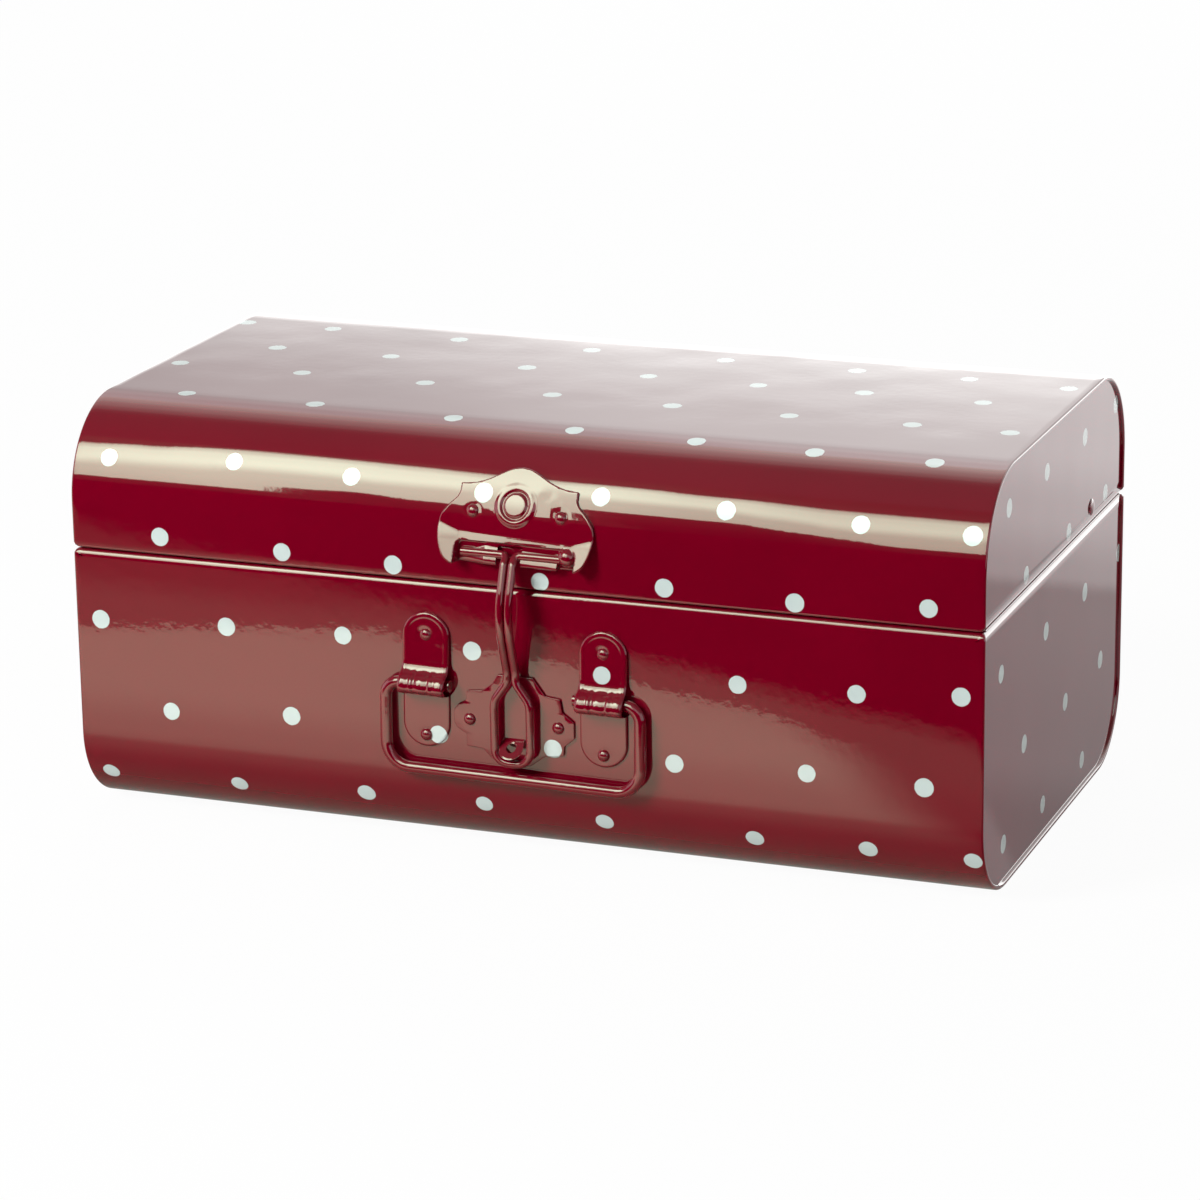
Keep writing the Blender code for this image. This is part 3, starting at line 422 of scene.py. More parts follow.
@dataclass(frozen=True)
class Trough:
    """The section of one half of the case, as one path from its front edge at the split round to its back edge."""

    name: str
    edge_z: float
    way: int
    depth: float
    corner: float

    @property
    def wall(self) -> float:
        """The height of the flat front."""
        return self.depth - self.corner

    @property
    def bend(self) -> float:
        """The length of the outer face round one corner."""
        return self.corner * pi / 2

    @property
    def length(self) -> float:
        """The whole path."""
        return 2 * (self.wall + self.bend + HALF_DEPTH - self.corner)

    def section(self, along: float, inset: float) -> Point2:
        """A point of the section.

        Args:
            along: The way along the outer face from the front edge.
            inset: The distance inwards.

        Returns:
            Its y and z.
        """
        back = along > self.length / 2
        t = self.length - along if back else along
        if t <= self.wall:
            y, deep = inset - HALF_DEPTH, t
        elif t <= self.wall + self.bend:
            angle = (t - self.wall) / self.corner
            reach = self.corner - inset
            y = self.corner - HALF_DEPTH - reach * cos(angle)
            deep = self.wall + reach * sin(angle)
        else:
            y = self.corner - HALF_DEPTH + t - self.wall - self.bend
            deep = self.depth - inset
        return (-y if back else y), self.edge_z + self.way * deep

    def stations(self, margin: float, step: float, turns: int) -> list[float]:
        """Stations along the path, close together round the corners.

        Args:
            margin: The distance of the first one from the edge.
            step: The step on the flats.
            turns: The steps round a corner.

        Returns:
            The distances along the path.
        """
        near = [margin + d for d in (0.0, 0.001, 0.002, 0.003, 0.004)]
        flat = near[:-1] + spaced(near[-1], self.wall, step)
        arc = [self.wall + self.bend * i / turns for i in range(1, turns + 1)]
        half = flat + arc
        floor = spaced(half[-1], self.length - half[-1], step)
        return half + floor[1:-1] + [self.length - t for t in reversed(half)]


BASE_TROUGH = Trough("base", 0.1058, -1, 0.1058, 0.032)
LID_TROUGH = Trough("lid", 0.1062, 1, 0.0538, 0.036)


@dataclass(frozen=True)
class DotPrint:
    """Where the dots are printed. Rows near the front are read off the case, and the rest go on in the same way."""

    pitch_mm: float = 50.0
    row_mm: float = 33.5
    jitter_mm: float = 3.0
    seed: int = 11
    lid_rows: tuple[tuple[Point2, ...], ...] = (
        ((-143, 7), (-92.6, 5.5), (-47.5, 4.6), (10.9, 3.4), (59.2, 5.5), (109, 4.5), (158.9, 7.1)),
        ((-165.1, 35.9), (-113.6, 38.5), (-65.4, 36.6), (-11.8, 35), (33.3, 37.2), (81.6, 36.2), (132.4, 35.3), (173.8, 34.8)),
        ((-147.2, 75.1), (-93.4, 74.6), (-35.6, 71.4), (13.6, 69.1), (61.6, 68.1), (107.3, 67), (152.5, 66.6)),
        ((-171, 118.7), (-118.4, 118.2), (-66.4, 117.7), (-12.9, 114.9), (36.3, 112.7), (82.8, 111.7), (130.2, 112.8), (167.6, 112.4)),
        ((-145, 153.5), (-96, 153.5), (-38, 152.5), (12, 153.5), (57, 152.5), (99, 153.5), (146, 152.5)),
        ((-175, 190), (-137, 190), (-81, 188), (-24, 187), (32, 187), (86, 186), (131, 186), (171, 183)),
    )
    base_rows: tuple[tuple[Point2, ...], ...] = (
        ((-169.5, 27.6), (-116.7, 25.6), (-68.7, 24.4), (-16.6, 25.4), (35.4, 29.3), (87.2, 28.1), (132.3, 27.1), (171.2, 24.2)),
        ((-141.2, 61.7), (-90.9, 58.4), (-30.4, 59.3), (15.3, 60.1), (62.6, 60.9), (113.5, 59.2), (157.8, 59.8)),
        ((-170.4, 91.2), (-115.6, 90.2), (-62.1, 87.3), (-13.9, 86.1), (33.8, 88.4), (92.6, 88.1), (136.1, 87.1), (175.6, 87.1)),
    )
    right_end: tuple[Point2, ...] = (
        (88, 144), (41, 142.5), (-14, 143), (-66, 143), (74, 112), (19, 111), (-41.5, 111), (97, 81.5), (45, 80),
        (-12, 81), (-74, 83), (71, 45), (18, 44), (-41, 46), (45, 12), (-13, 13), (-68, 16),
    )

    def wrap(self, rows: Sequence[Sequence[Point2]], length_mm: float) -> np.ndarray:
        """The dots of one wrap.

        Args:
            rows: The rows that were read, each dot with its x and its distance from the split.
            length_mm: The length of the whole path.

        Returns:
            Every dot, in millimetres.
        """
        chance = random.Random(self.seed)
        dots = [dot for row in rows for dot in row]
        level = sum(d for _, d in rows[-1]) / len(rows[-1]) + self.row_mm
        shifted = len(rows) % 2 == len(self.base_rows) % 2
        while level < length_mm + self.row_mm / 4:
            start = -self.pitch_mm * (3.45 if shifted else 2.9)
            for k in range(8):
                x = start + k * self.pitch_mm + chance.uniform(-self.jitter_mm, self.jitter_mm)
                if abs(x) < 181:
                    dots.append((x, level + chance.uniform(-self.jitter_mm, self.jitter_mm) / 2))
            level += self.row_mm
            shifted = not shifted
        return np.array(dots)

    def lid(self) -> np.ndarray:
        """The dots of the lid's wrap."""
        return self.wrap(self.lid_rows, LID_TROUGH.length / MM)

    def base(self) -> np.ndarray:
        """The dots of the base's wrap."""
        return self.wrap(self.base_rows, BASE_TROUGH.length / MM)

    def end(self, side: int) -> np.ndarray:
        """The dots of one end, as y and z; the left end's are shifted along."""
        places = np.array(self.right_end)
        return places if side > 0 else np.column_stack((-places[:, 0] + 9, places[:, 1]))


DOTS = DotPrint()


@dataclass(frozen=True)
class Hem:
    """The folded edge of a sheet: its thickness, its rounding and how far it reaches back."""

    thickness: float
    rounding: float
    width: float
    steps: int = 7

    def mixed(self, other: "Hem", share: float) -> "Hem":
        """This hem turning into another."""
        blend = [a + (b - a) * share for a, b in zip((self.thickness, self.rounding, self.width), (other.thickness, other.rounding, other.width))]
        return Hem(*blend, self.steps)

    def profile(self) -> list[Point2]:
        """The hem's section.

        Returns:
            Distances back from the edge and inwards from the outer face, from the outside round to the inside.
        """
        r, t, w = self.rounding, self.thickness, self.width
        fold = t - r
        outer = [(r * (1 - sin(a)), r * (1 - cos(a))) for a in (pi / 2 * i / self.steps for i in range(self.steps + 1))]
        inner = [(fold * (1 - cos(a)), t - fold * (1 - sin(a))) for a in (pi / 2 * i / self.steps for i in range(self.steps + 1))]
        foot = 0.0003
        return [*outer, *inner, (w - foot, t), (w, t - foot), (w, SHEET + foot / 3)]


RIM = Hem(0.0020, 0.0009, 0.0029)
CURLS = {"base": Hem(0.0040, 0.0029, 0.0029), "lid": Hem(0.0024, 0.0010, 0.0026)}


@dataclass
class Wrap:
    """The sheet that wraps front, floor and back of one half, hemmed all round."""

    trough: Trough
    body: Body
    dots: np.ndarray
    finishes: Finishes
    margin: float = 0.0032
    corner_span: float = 0.0040
    corner_across: float = 0.0022
    step: float = 0.0045
    turns: int = 30
    end_x: float = 0.17985

    def edge_place(self, x: float, s: float) -> tuple[float, float, float, float]:
        """The nearest place of the sheet's rounded outline, seen from the nearest corner's middle.

        Args:
            x: A place on the inner border.
            s: Its distance along the path.

        Returns:
            The outline's x and s there, and its outward direction.
        """
        reach = self.corner_span + self.margin
        sx = 1 if x > 0 else -1
        ss = 1 if s > self.trough.length / 2 else -1
        cx = self.end_x - reach
        cs = reach if ss < 0 else self.trough.length - reach
        px, ps = abs(x) - cx, (s - cs) * ss
        if px < -1e-9 or ps < -1e-9:
            if ps > px:
                return x, (cs + ss * reach), 0.0, float(ss)
            return sx * self.end_x, s, float(sx), 0.0
        length = hypot(px, ps)
        dx, ds = px / length, ps / length
        r = self.corner_across
        flat = reach - r
        if dx > 0 and reach * ds / dx <= flat:
            ox, os, nx, ns = reach, reach * ds / dx, 1.0, 0.0
        elif ds > 0 and reach * dx / ds <= flat:
            ox, os, nx, ns = reach * dx / ds, reach, 0.0, 1.0
        else:
            b = dx * flat + ds * flat
            t = b + sqrt(max(0.0, b * b - 2 * flat * flat + r * r))
            ox, os = dx * t, ds * t
            nx, ns = (ox - flat) / r, (os - flat) / r
        return sx * (cx + ox), cs + ss * os, sx * nx, ss * ns

    def build(self) -> bpy.types.Object:
        """Build and dress the wrap.

        Returns:
            The piece.
        """
        draft = Draft()
        inner_x = self.end_x - self.margin
        near = [inner_x - d for d in (0.0, 0.001, 0.002, 0.003)]
        middle = spaced(-inner_x + self.corner_span, inner_x - self.corner_span, self.step)
        xs = [-x for x in near] + middle + near[::-1]
        ss = self.trough.stations(self.margin, self.step, self.turns)

        def put(x: float, s: float, inset: float) -> int:
            y, z = self.trough.section(s, inset)
            return draft.add((x, y, z), (x / MM, s / MM))

        outer = [[put(x, s, 0.0) for x in xs] for s in ss]
        inner = [[put(x, s, SHEET) for x in xs] for s in ss]
        for j in range(len(ss) - 1):
            draft.strip(outer[j], outer[j + 1], dotted=True)
            draft.strip(inner[j + 1], inner[j])
        last_i, last_j = len(xs) - 1, len(ss) - 1
        border = [(i, 0) for i in range(last_i)] + [(last_i, j) for j in range(last_j)]
        border += [(i, last_j) for i in range(last_i, 0, -1)] + [(0, j) for j in range(last_j, 0, -1)]
        rings: list[list[int]] = []
        for i, j in border:
            ex, es, nx, ns = self.edge_place(xs[i], ss[j])
            hem = RIM.mixed(CURLS[self.trough.name], ns * ns)
            rings.append([put(ex - nx * back, es - ns * back, inset) for back, inset in hem.profile()])
        loops = [[outer[j][i] for i, j in border]] + [list(loop) for loop in zip(*rings)] + [[inner[j][i] for i, j in border]]
        for number, (one, other) in enumerate(zip(loops, loops[1:])):
            draft.strip(one, other, closed=True, dotted=number < 8)
        piece = draft.build(f"{self.trough.name}_wrap_shell", self.dots)
        dress(piece, self.body, [self.finishes.dotted], [f"{self.trough.name}_wrap"])
        return piece


@dataclass
class EndPanel:
    """A flanged end panel behind the rim, with a rolled bead along the split."""

    trough: Trough
    side_name: str
    side: int
    body: Body
    finishes: Finishes
    face_x: float = 0.1787
    inset: float = 0.0011
    flange: float = 0.0080
    fold: float = 0.0010
    fold_steps: int = 6
    bead_radius: float = 0.0005
    step: float = 0.0050
    turns: int = 26

    def half_across(self, deep: float) -> float:
        """Half the panel's face at a distance from the split."""
        radius = self.trough.corner - self.inset - self.fold
        over = deep - self.trough.wall
        if over <= 0:
            return HALF_DEPTH - self.inset - self.fold
        return HALF_DEPTH - self.trough.corner + sqrt(max(0.0, radius * radius - over * over))

    def border(self, y: float, deep: float) -> Point2:
        """The outward direction at the border of the face."""
        over = deep - self.trough.wall
        middle = HALF_DEPTH - self.trough.corner
        if over <= 0:
            return (1.0 if y > 0 else -1.0), 0.0
        if abs(y) <= middle:
            return 0.0, 1.0
        length = hypot(abs(y) - middle, over)
        return (abs(y) - middle) / length * (1 if y > 0 else -1), over / length

    def build(self) -> bpy.types.Object:
        """Build and dress the panel.

        Returns:
            The piece.
        """
        draft = Draft()
        radius = self.trough.corner - self.inset - self.fold
        top = self.bead_radius
        deeps = spaced(top, self.trough.wall, self.step)
        deeps += [self.trough.wall + radius * sin(pi / 2 * i / self.turns) for i in range(1, self.turns + 1)]
        across = graded(1.0, self.step / HALF_DEPTH, (0.0, 0.004, 0.012, 0.03))

        def put(y: float, deep: float, back: float) -> int:
            z = self.trough.edge_z + self.trough.way * deep
            return draft.add((self.side * (self.face_x - back), y, z), (y / MM, z / MM))

        rows = [[put(u * self.half_across(d), d, 0.0) for u in across] for d in deeps]
        for one, other in zip(rows, rows[1:]):
            draft.strip(one, other, dotted=True)
        edge = [(row[0], d) for row, d in zip(rows, deeps)] + [(v, deeps[-1]) for v in rows[-1][1:-1]]
        edge += [(row[-1], d) for row, d in zip(rows[::-1], deeps[::-1])]
        loops = [[v for v, _ in edge]]
        turn = [(self.fold * sin(a), self.fold * (1 - cos(a))) for a in (pi / 2 * i / self.fold_steps for i in range(1, self.fold_steps + 1))]
        for out, back in [*turn, (self.fold, self.flange)]:
            loop = []
            for v, deep in edge:
                y = draft.points[v][1]
                ny, nd = self.border(y, deep)
                loop.append(put(y + ny * out, deep + nd * out, back))
            loops.append(loop)
        for one, other in zip(loops, loops[1:]):
            draft.strip(one, other, dotted=True)
        name = f"{self.trough.name}_end_{self.side_name}"
        piece = draft.build(name + "_skin", DOTS.end(self.side))
        if piece.data.polygons[0].normal.x * self.side < 0:
            piece.data.flip_normals()
        thick = piece.modifiers.new("sheet", "SOLIDIFY")
        thick.thickness = SHEET
        thick.offset = -1.0
        thick.material_offset = 1
        thick.material_offset_rim = 1
        dress(piece, self.body, [self.finishes.dotted, self.finishes.plain], [name])
        self.bead(name)
        return piece

    def bead(self, name: str) -> None:
        """Build the rolled bead along the split, with flat capped ends."""
        reach = HALF_DEPTH - 0.0042 - 0.0005
        z = self.trough.edge_z + self.trough.way * self.bead_radius
        path = [(self.side * (self.face_x - 0.0004), y, z) for y in spaced(-reach, reach, 0.004)]
        bead = round_bar(name + "_bead", path, self.bead_radius, self.finishes.plain)
        dress(bead, self.body, [self.finishes.plain])


class TreeKit:
    """Builds geometry node trees with named inputs."""

    def __init__(self, name: str, inputs: Sequence[tuple[str, str]]) -> None:
        """Start a tree.

        Args:
            name: Its name.
            inputs: Names and socket types of its inputs after the geometry.
        """
        self.tree = bpy.data.node_groups.new(name, "GeometryNodeTree")
        self.tree.interface.new_socket("Geometry", in_out="INPUT", socket_type="NodeSocketGeometry")
        for label, kind in inputs:
            self.tree.interface.new_socket(label, in_out="INPUT", socket_type=kind)
        self.tree.interface.new_socket("Geometry", in_out="OUTPUT", socket_type="NodeSocketGeometry")
        self.inlet = self.tree.nodes.new("NodeGroupInput")

    def close(self, geometry: bpy.types.NodeSocket) -> None:
        """End with smooth shading, real geometry and the finish."""
        smooth = add_node(self.tree, "GeometryNodeSetShadeSmooth", i0=geometry)
        real = add_node(self.tree, "GeometryNodeRealizeInstances", Geometry=smooth.outputs[0])
        painted = add_node(self.tree, "GeometryNodeSetMaterial", Geometry=real.outputs[0], Material=self.inlet.outputs["Finish"])
        outlet = self.tree.nodes.new("NodeGroupOutput")
        self.tree.links.new(painted.outputs[0], outlet.inputs[0])

    def apply(self, obj: bpy.types.Object, name: str, sharp_deg: float, **values: object) -> bpy.types.Object:
        """Run the tree on an object and keep the result as a plain mesh.

        Args:
            obj: The object that holds the points or the path; it is removed.
            name: The new piece's name.
            sharp_deg: Edges sharper than this stay sharp.
            values: The inputs by name, with _ for a space.

        Returns:
            The new piece.
        """
        modifier = obj.modifiers.new("make", "NODES")
        modifier.node_group = self.tree
        for item in self.tree.interface.items_tree:
            key = item.name.replace(" ", "_")
            if item.in_out == "INPUT" and key in values:
                modifier[item.identifier] = values[key]
        bpy.context.view_layer.update()
        evaluated = obj.evaluated_get(bpy.context.evaluated_depsgraph_get())
        mesh = bpy.data.meshes.new_from_object(evaluated)
        bpy.data.objects.remove(obj)
        shape = bmesh.new()
        shape.from_mesh(mesh)
        bmesh.ops.remove_doubles(shape, verts=shape.verts, dist=1e-7)
        bmesh.ops.recalc_face_normals(shape, faces=shape.faces)
        shape.to_mesh(mesh)
        shape.free()
        return finish_mesh(mesh, name, sharp_deg)


def wire_kit() -> TreeKit:
    """The tree that draws a round wire along a path."""
    kit = TreeKit("drawn_wire", (("Wire Radius", "NodeSocketFloat"), ("Sides", "NodeSocketInt"), ("Finish", "NodeSocketMaterial")))
    path = add_node(kit.tree, "GeometryNodeMeshToCurve", i0=kit.inlet.outputs["Geometry"])
    ring = add_node(kit.tree, "GeometryNodeCurvePrimitiveCircle", Resolution=kit.inlet.outputs["Sides"], Radius=kit.inlet.outputs["Wire Radius"])
    tube = add_node(kit.tree, "GeometryNodeCurveToMesh", i0=path.outputs[0], i1=ring.outputs[0])
    tube.inputs["Fill Caps"].default_value = True
    kit.close(tube.outputs[0])
    return kit


WIRE = wire_kit()


def round_bar(name: str, path: Sequence[Sequence[float]], radius: float, finish: bpy.types.Material, sides: int = 28) -> bpy.types.Object:
    """Draw a round bar along a path.

    Args:
        name: The piece's name.
        path: Its points.
        radius: Its radius.
        finish: Its material.
        sides: Its sides.

    Returns:
        The piece.
    """
    mesh = bpy.data.meshes.new(name + "_path")
    mesh.from_pydata([tuple(p) for p in path], [(i, i + 1) for i in range(len(path) - 1)], [])
    obj = bpy.data.objects.new(name + "_path", mesh)
    bpy.context.scene.collection.objects.link(obj)
    return WIRE.apply(obj, name, 50.0, Wire_Radius=radius, Sides=sides, Finish=finish)


@dataclass(frozen=True)
class RivetSet:
    """Domed rivets with their shanks and tails, placed by points that carry a direction."""

    head_radius: float = 0.00245
    head_height: float = 0.0020
    head_seat: float = 0.0007
    tail_radius: float = 0.0018
    tail_height: float = 0.0007

    def kit(self) -> TreeKit:
        """The tree that sets a rivet on each point, along its direction."""
        kit = TreeKit("rivet_set", (("Head Radius", "NodeSocketFloat"), ("Head Height", "NodeSocketFloat"), ("Finish", "NodeSocketMaterial")))
        size = add_node(kit.tree, "ShaderNodeCombineXYZ", X=kit.inlet.outputs["Head Radius"], Y=kit.inlet.outputs["Head Radius"], Z=kit.inlet.outputs["Head Height"])
        ball = add_node(kit.tree, "GeometryNodeMeshUVSphere", Segments=28, Rings=16, Radius=1.0)
        head = add_node(kit.tree, "GeometryNodeTransform", i0=ball.outputs[0], Translation=(0, 0, self.head_seat), Scale=size.outputs[0])
        depth = self.head_seat + SHEET + 0.0003
        shank = add_node(kit.tree, "GeometryNodeMeshCylinder", Vertices=20, Radius=0.0011, Depth=depth)
        stem = add_node(kit.tree, "GeometryNodeTransform", i0=shank.outputs[0], Translation=(0, 0, self.head_seat - depth / 2))
        disc = add_node(kit.tree, "GeometryNodeMeshCylinder", Vertices=24, Radius=self.tail_radius, Depth=self.tail_height)
        tail = add_node(kit.tree, "GeometryNodeTransform", i0=disc.outputs[0], Translation=(0, 0, self.head_seat - depth - self.tail_height / 2))
        join = kit.tree.nodes.new("GeometryNodeJoinGeometry")
        for part in (head, stem, tail):
            kit.tree.links.new(part.outputs[0], join.inputs[0])
        facing = add_node(kit.tree, "GeometryNodeInputNamedAttribute", {"data_type": "FLOAT_VECTOR"}, i0="facing")
        turn = add_node(kit.tree, "FunctionNodeAlignRotationToVector", {"axis": "Z"}, Vector=facing.outputs[0])
        points = add_node(kit.tree, "GeometryNodeMeshToPoints", i0=kit.inlet.outputs["Geometry"])
        placed = add_node(kit.tree, "GeometryNodeInstanceOnPoints", Points=points.outputs[0], Instance=join.outputs[0], Rotation=turn.outputs[0])
        kit.close(placed.outputs[0])
        return kit

    def build(self, name: str, places: Sequence[tuple[Point3, Point3]], finish: bpy.types.Material) -> bpy.types.Object:
        """Set the rivets.

        Args:
            name: The piece's name.
            places: Places on the wall and directions out of it.
            finish: Their material.

        Returns:
            The piece.
        """
        mesh = bpy.data.meshes.new(name + "_places")
        mesh.from_pydata([p for p, _ in places], [], [])
        attribute = mesh.attributes.new("facing", "FLOAT_VECTOR", "POINT")
        attribute.data.foreach_set("vector", [c for _, d in places for c in d])
        obj = bpy.data.objects.new(name + "_places", mesh)
        bpy.context.scene.collection.objects.link(obj)
        return self.kit().apply(obj, name, 50.0, Head_Radius=self.head_radius, Head_Height=self.head_height, Finish=finish)


def smooth_run(knots: Sequence[Point2], steps: int) -> list[Point2]:
    """A smooth line through knots.

    Args:
        knots: The points.
        steps: Steps from each to the next.

    Returns:
        The line's points.
    """
    p = np.array([knots[0], *knots, knots[-1]], float)
    line = []
    for i in range(1, len(p) - 2):
        for k in range(steps):
            t = k / steps
            a, b, c, d = p[i - 1], p[i], p[i + 1], p[i + 2]
            q = 0.5 * (2 * b + (c - a) * t + (2 * a - 5 * b + 4 * c - d) * t * t + (3 * b - a - 3 * c + d) * t**3)
            line.append((float(q[0]), float(q[1])))
    return [*line, knots[-1]]


def bulge(rho: np.ndarray, radius: np.ndarray | float, middle: float, ground: np.ndarray | float, fillet: float) -> np.ndarray:
    """The height of a round form that a fillet joins to the ground round it.

    Args:
        rho: Distances from the form's axis.
        radius: The form's radius.
        middle: The height of its axis.
        ground: The height of the ground.
        fillet: The fillet's radius.

    Returns:
        The heights.
    """
    rise = ground + fillet - middle
    foot = np.sqrt((radius + fillet) ** 2 - rise**2)
    meet = foot * radius / (radius + fillet)
    round_part = middle + np.sqrt(np.maximum(radius**2 - rho**2, 0))
    fillet_part = ground + fillet - np.sqrt(np.maximum(fillet**2 - (foot - rho) ** 2, 0))
    return np.where(rho <= meet, round_part, np.where(rho < foot, fillet_part, ground))


def swell(away: np.ndarray, half_width: float) -> np.ndarray:
    """A soft bump: 1 in the middle and 0 from its half width on."""
    return np.where(np.abs(away) < half_width, np.cos(away / half_width * pi / 2) ** 2, 0.0)


@dataclass
class PressedPlate:
    """A plate pressed from sheet: a grid inside its outline, with a relief, an even thickness and rounded edges."""

    finishes: Finishes
    name: str = ""
    node: str = ""
    body: Body = Body.BASE
    step: float = 0.0005
    edge_round: float = 0.0007
    straight: float = 0.0
    edge_grades: tuple[float, ...] = (0.0, 0.00008, 0.0002, 0.00036, 0.00055, 0.0008, 0.0011, 0.0015)

    def outline(self) -> list[Point2]:
        """The right half of the outline from its foot to its top, as half widths and heights."""
        raise NotImplementedError

    def relief(self, x: np.ndarray, t: np.ndarray, edge: np.ndarray) -> np.ndarray:
        """How far the face stands out of the wall."""
        raise NotImplementedError

    def place(self, x: float, t: float, proud: float) -> Point3:
        """The point in space."""
        raise NotImplementedError

    def levels(self) -> list[float]:
        """Extra heights that rows run along."""
        return []

    def columns(self) -> list[float]:
        """Extra places across that columns run along."""
        return []

    def is_open(self, x: float, t: float) -> bool:
        """Whether the plate is cut away there."""
        return False

    def dots(self) -> np.ndarray | None:
        """The dots printed on it."""
        return None

    def pattern(self, x: float, t: float) -> Point2:
        """The place in the printed pattern, in millimetres."""
        return x / MM, t / MM

    def dents(self, x: np.ndarray, t: np.ndarray, count: int, depth: float, seed: int) -> np.ndarray:
        """Faint dents and bulges of hand-fed pressings.

        Args:
            x: Places across.
            t: Places up.
            count: How many.
            depth: Their greatest depth.
            seed: The seed of their places.

        Returns:
            The heights.
        """
        chance = random.Random(seed)
        made = np.zeros(x.shape)
        for _ in range(count):
            cx, ct = chance.uniform(x.min(), x.max()), chance.uniform(t.min(), t.max())
            size, height = chance.uniform(0.0012, 0.0035), chance.uniform(-depth, depth)
            made += height * np.exp(-(((x - cx) / size) ** 2 + ((t - ct) / (0.7 * size)) ** 2))
        return made

    def rows(self, line: np.ndarray) -> np.ndarray:
        """Heights of the rows: even, closer at both ends, and at each level."""
        low, high = line[0, 1], line[-1, 1]
        even = spaced(low, high, self.step)
        near = [low + e for e in self.edge_grades] + [high - e for e in self.edge_grades]
        levels = self.levels()
        kept = [t for t in even + near if all(abs(t - v) > self.step * 0.3 for v in levels)]
        return np.unique(np.round(np.array(kept + levels), 7))

    def grid(self) -> tuple[np.ndarray, np.ndarray, np.ndarray]:
        """The grid's x and height, and the distance of each point from the outline."""
        line = np.array(self.outline())
        rows = self.rows(line)
        order = np.argsort(line[:, 1], kind="stable")
        half = np.interp(rows, line[order, 1], line[order, 0])
        widest = line[:, 0].max()
        kept = [u for u in graded(widest, self.step, self.edge_grades) if all(abs(u - c) > self.step * 0.3 for c in self.columns())]
        stations = np.array(sorted(kept + self.columns()))
        core = np.minimum(self.straight, half * 0.34)
        x = np.empty((len(rows), len(stations)))
        for j, (w, c) in enumerate(zip(half, core)):
            share = np.abs(stations)
            if self.straight:
                outer = c + (share - self.straight) * (w - c) / (widest - self.straight)
                x[j] = np.sign(stations) * np.where(share <= self.straight, share * c / self.straight, outer)
            else:
                x[j] = stations * w / widest
        t = np.repeat(rows[:, None], len(stations), axis=1)
        a, b = line[:-1], line[1:]
        points = np.column_stack((np.abs(x).ravel(), t.ravel()))
        away = np.full(len(points), 1.0)
        foot = np.array([[0.0, line[0, 1]]])
        for p, q in zip(np.vstack((foot, a)), np.vstack((line[:1], b))):
            d = q - p
            share = np.clip(((points - p) @ d) / max(d @ d, 1e-18), 0, 1)
            away = np.minimum(away, np.hypot(*(points - p - share[:, None] * d).T))
        return x, t, away.reshape(x.shape)

    def build(self) -> bpy.types.Object:
        """Build and dress the plate.

        Returns:
            The piece.
        """
        x, t, edge = self.grid()
        roll = np.where(edge < self.edge_round, self.edge_round - np.sqrt(np.maximum(self.edge_round**2 - (self.edge_round - edge) ** 2, 0)), 0.0)
        height = self.relief(x, t, edge)
        face = np.maximum(height - roll, PLATE_BACK + 0.0001)
        back = np.maximum(height - PLATE, PLATE_BACK)
        back = np.minimum(back, face - 0.00005)
        draft = Draft()
        tops, backs = [], []
        for j in range(x.shape[0]):
            tops.append([draft.add(self.place(float(a), float(b), float(h)), self.pattern(float(a), float(b))) for a, b, h in zip(x[j], t[j], face[j])])
            backs.append([draft.add(self.place(float(a), float(b), float(h))) for a, b, h in zip(x[j], t[j], back[j])])
        sides: dict[tuple[int, int], int] = {}
        for j in range(x.shape[0] - 1):
            for i in range(x.shape[1] - 1):
                if self.is_open(float(x[j : j + 2, i : i + 2].mean()), float(t[j : j + 2, i].mean())):
                    continue
                ring = ((j, i), (j, i + 1), (j + 1, i + 1), (j + 1, i))
                draft.face(*(tops[b][a] for b, a in ring), dotted=True)
                draft.face(*(backs[b][a] for b, a in reversed(ring)))
                for p, q in zip(ring, ring[1:] + ring[:1]):
                    sides[(tops[p[0]][p[1]], tops[q[0]][q[1]])] = 1
        to_back = {a: b for one, other in zip(tops, backs) for a, b in zip(one, other)}
        for p, q in sides:
            if (q, p) not in sides:
                draft.face(q, p, to_back[p], to_back[q])
        piece = draft.build(self.name, self.dots(), 55.0)
        shape = bmesh.new()
        shape.from_mesh(piece.data)
        bmesh.ops.remove_doubles(shape, verts=shape.verts, dist=2e-6)
        shape.to_mesh(piece.data)
        shape.free()
        dress(piece, self.body, [self.finishes.dotted if self.dots() is not None else self.finishes.plain], [self.node])
        return piece


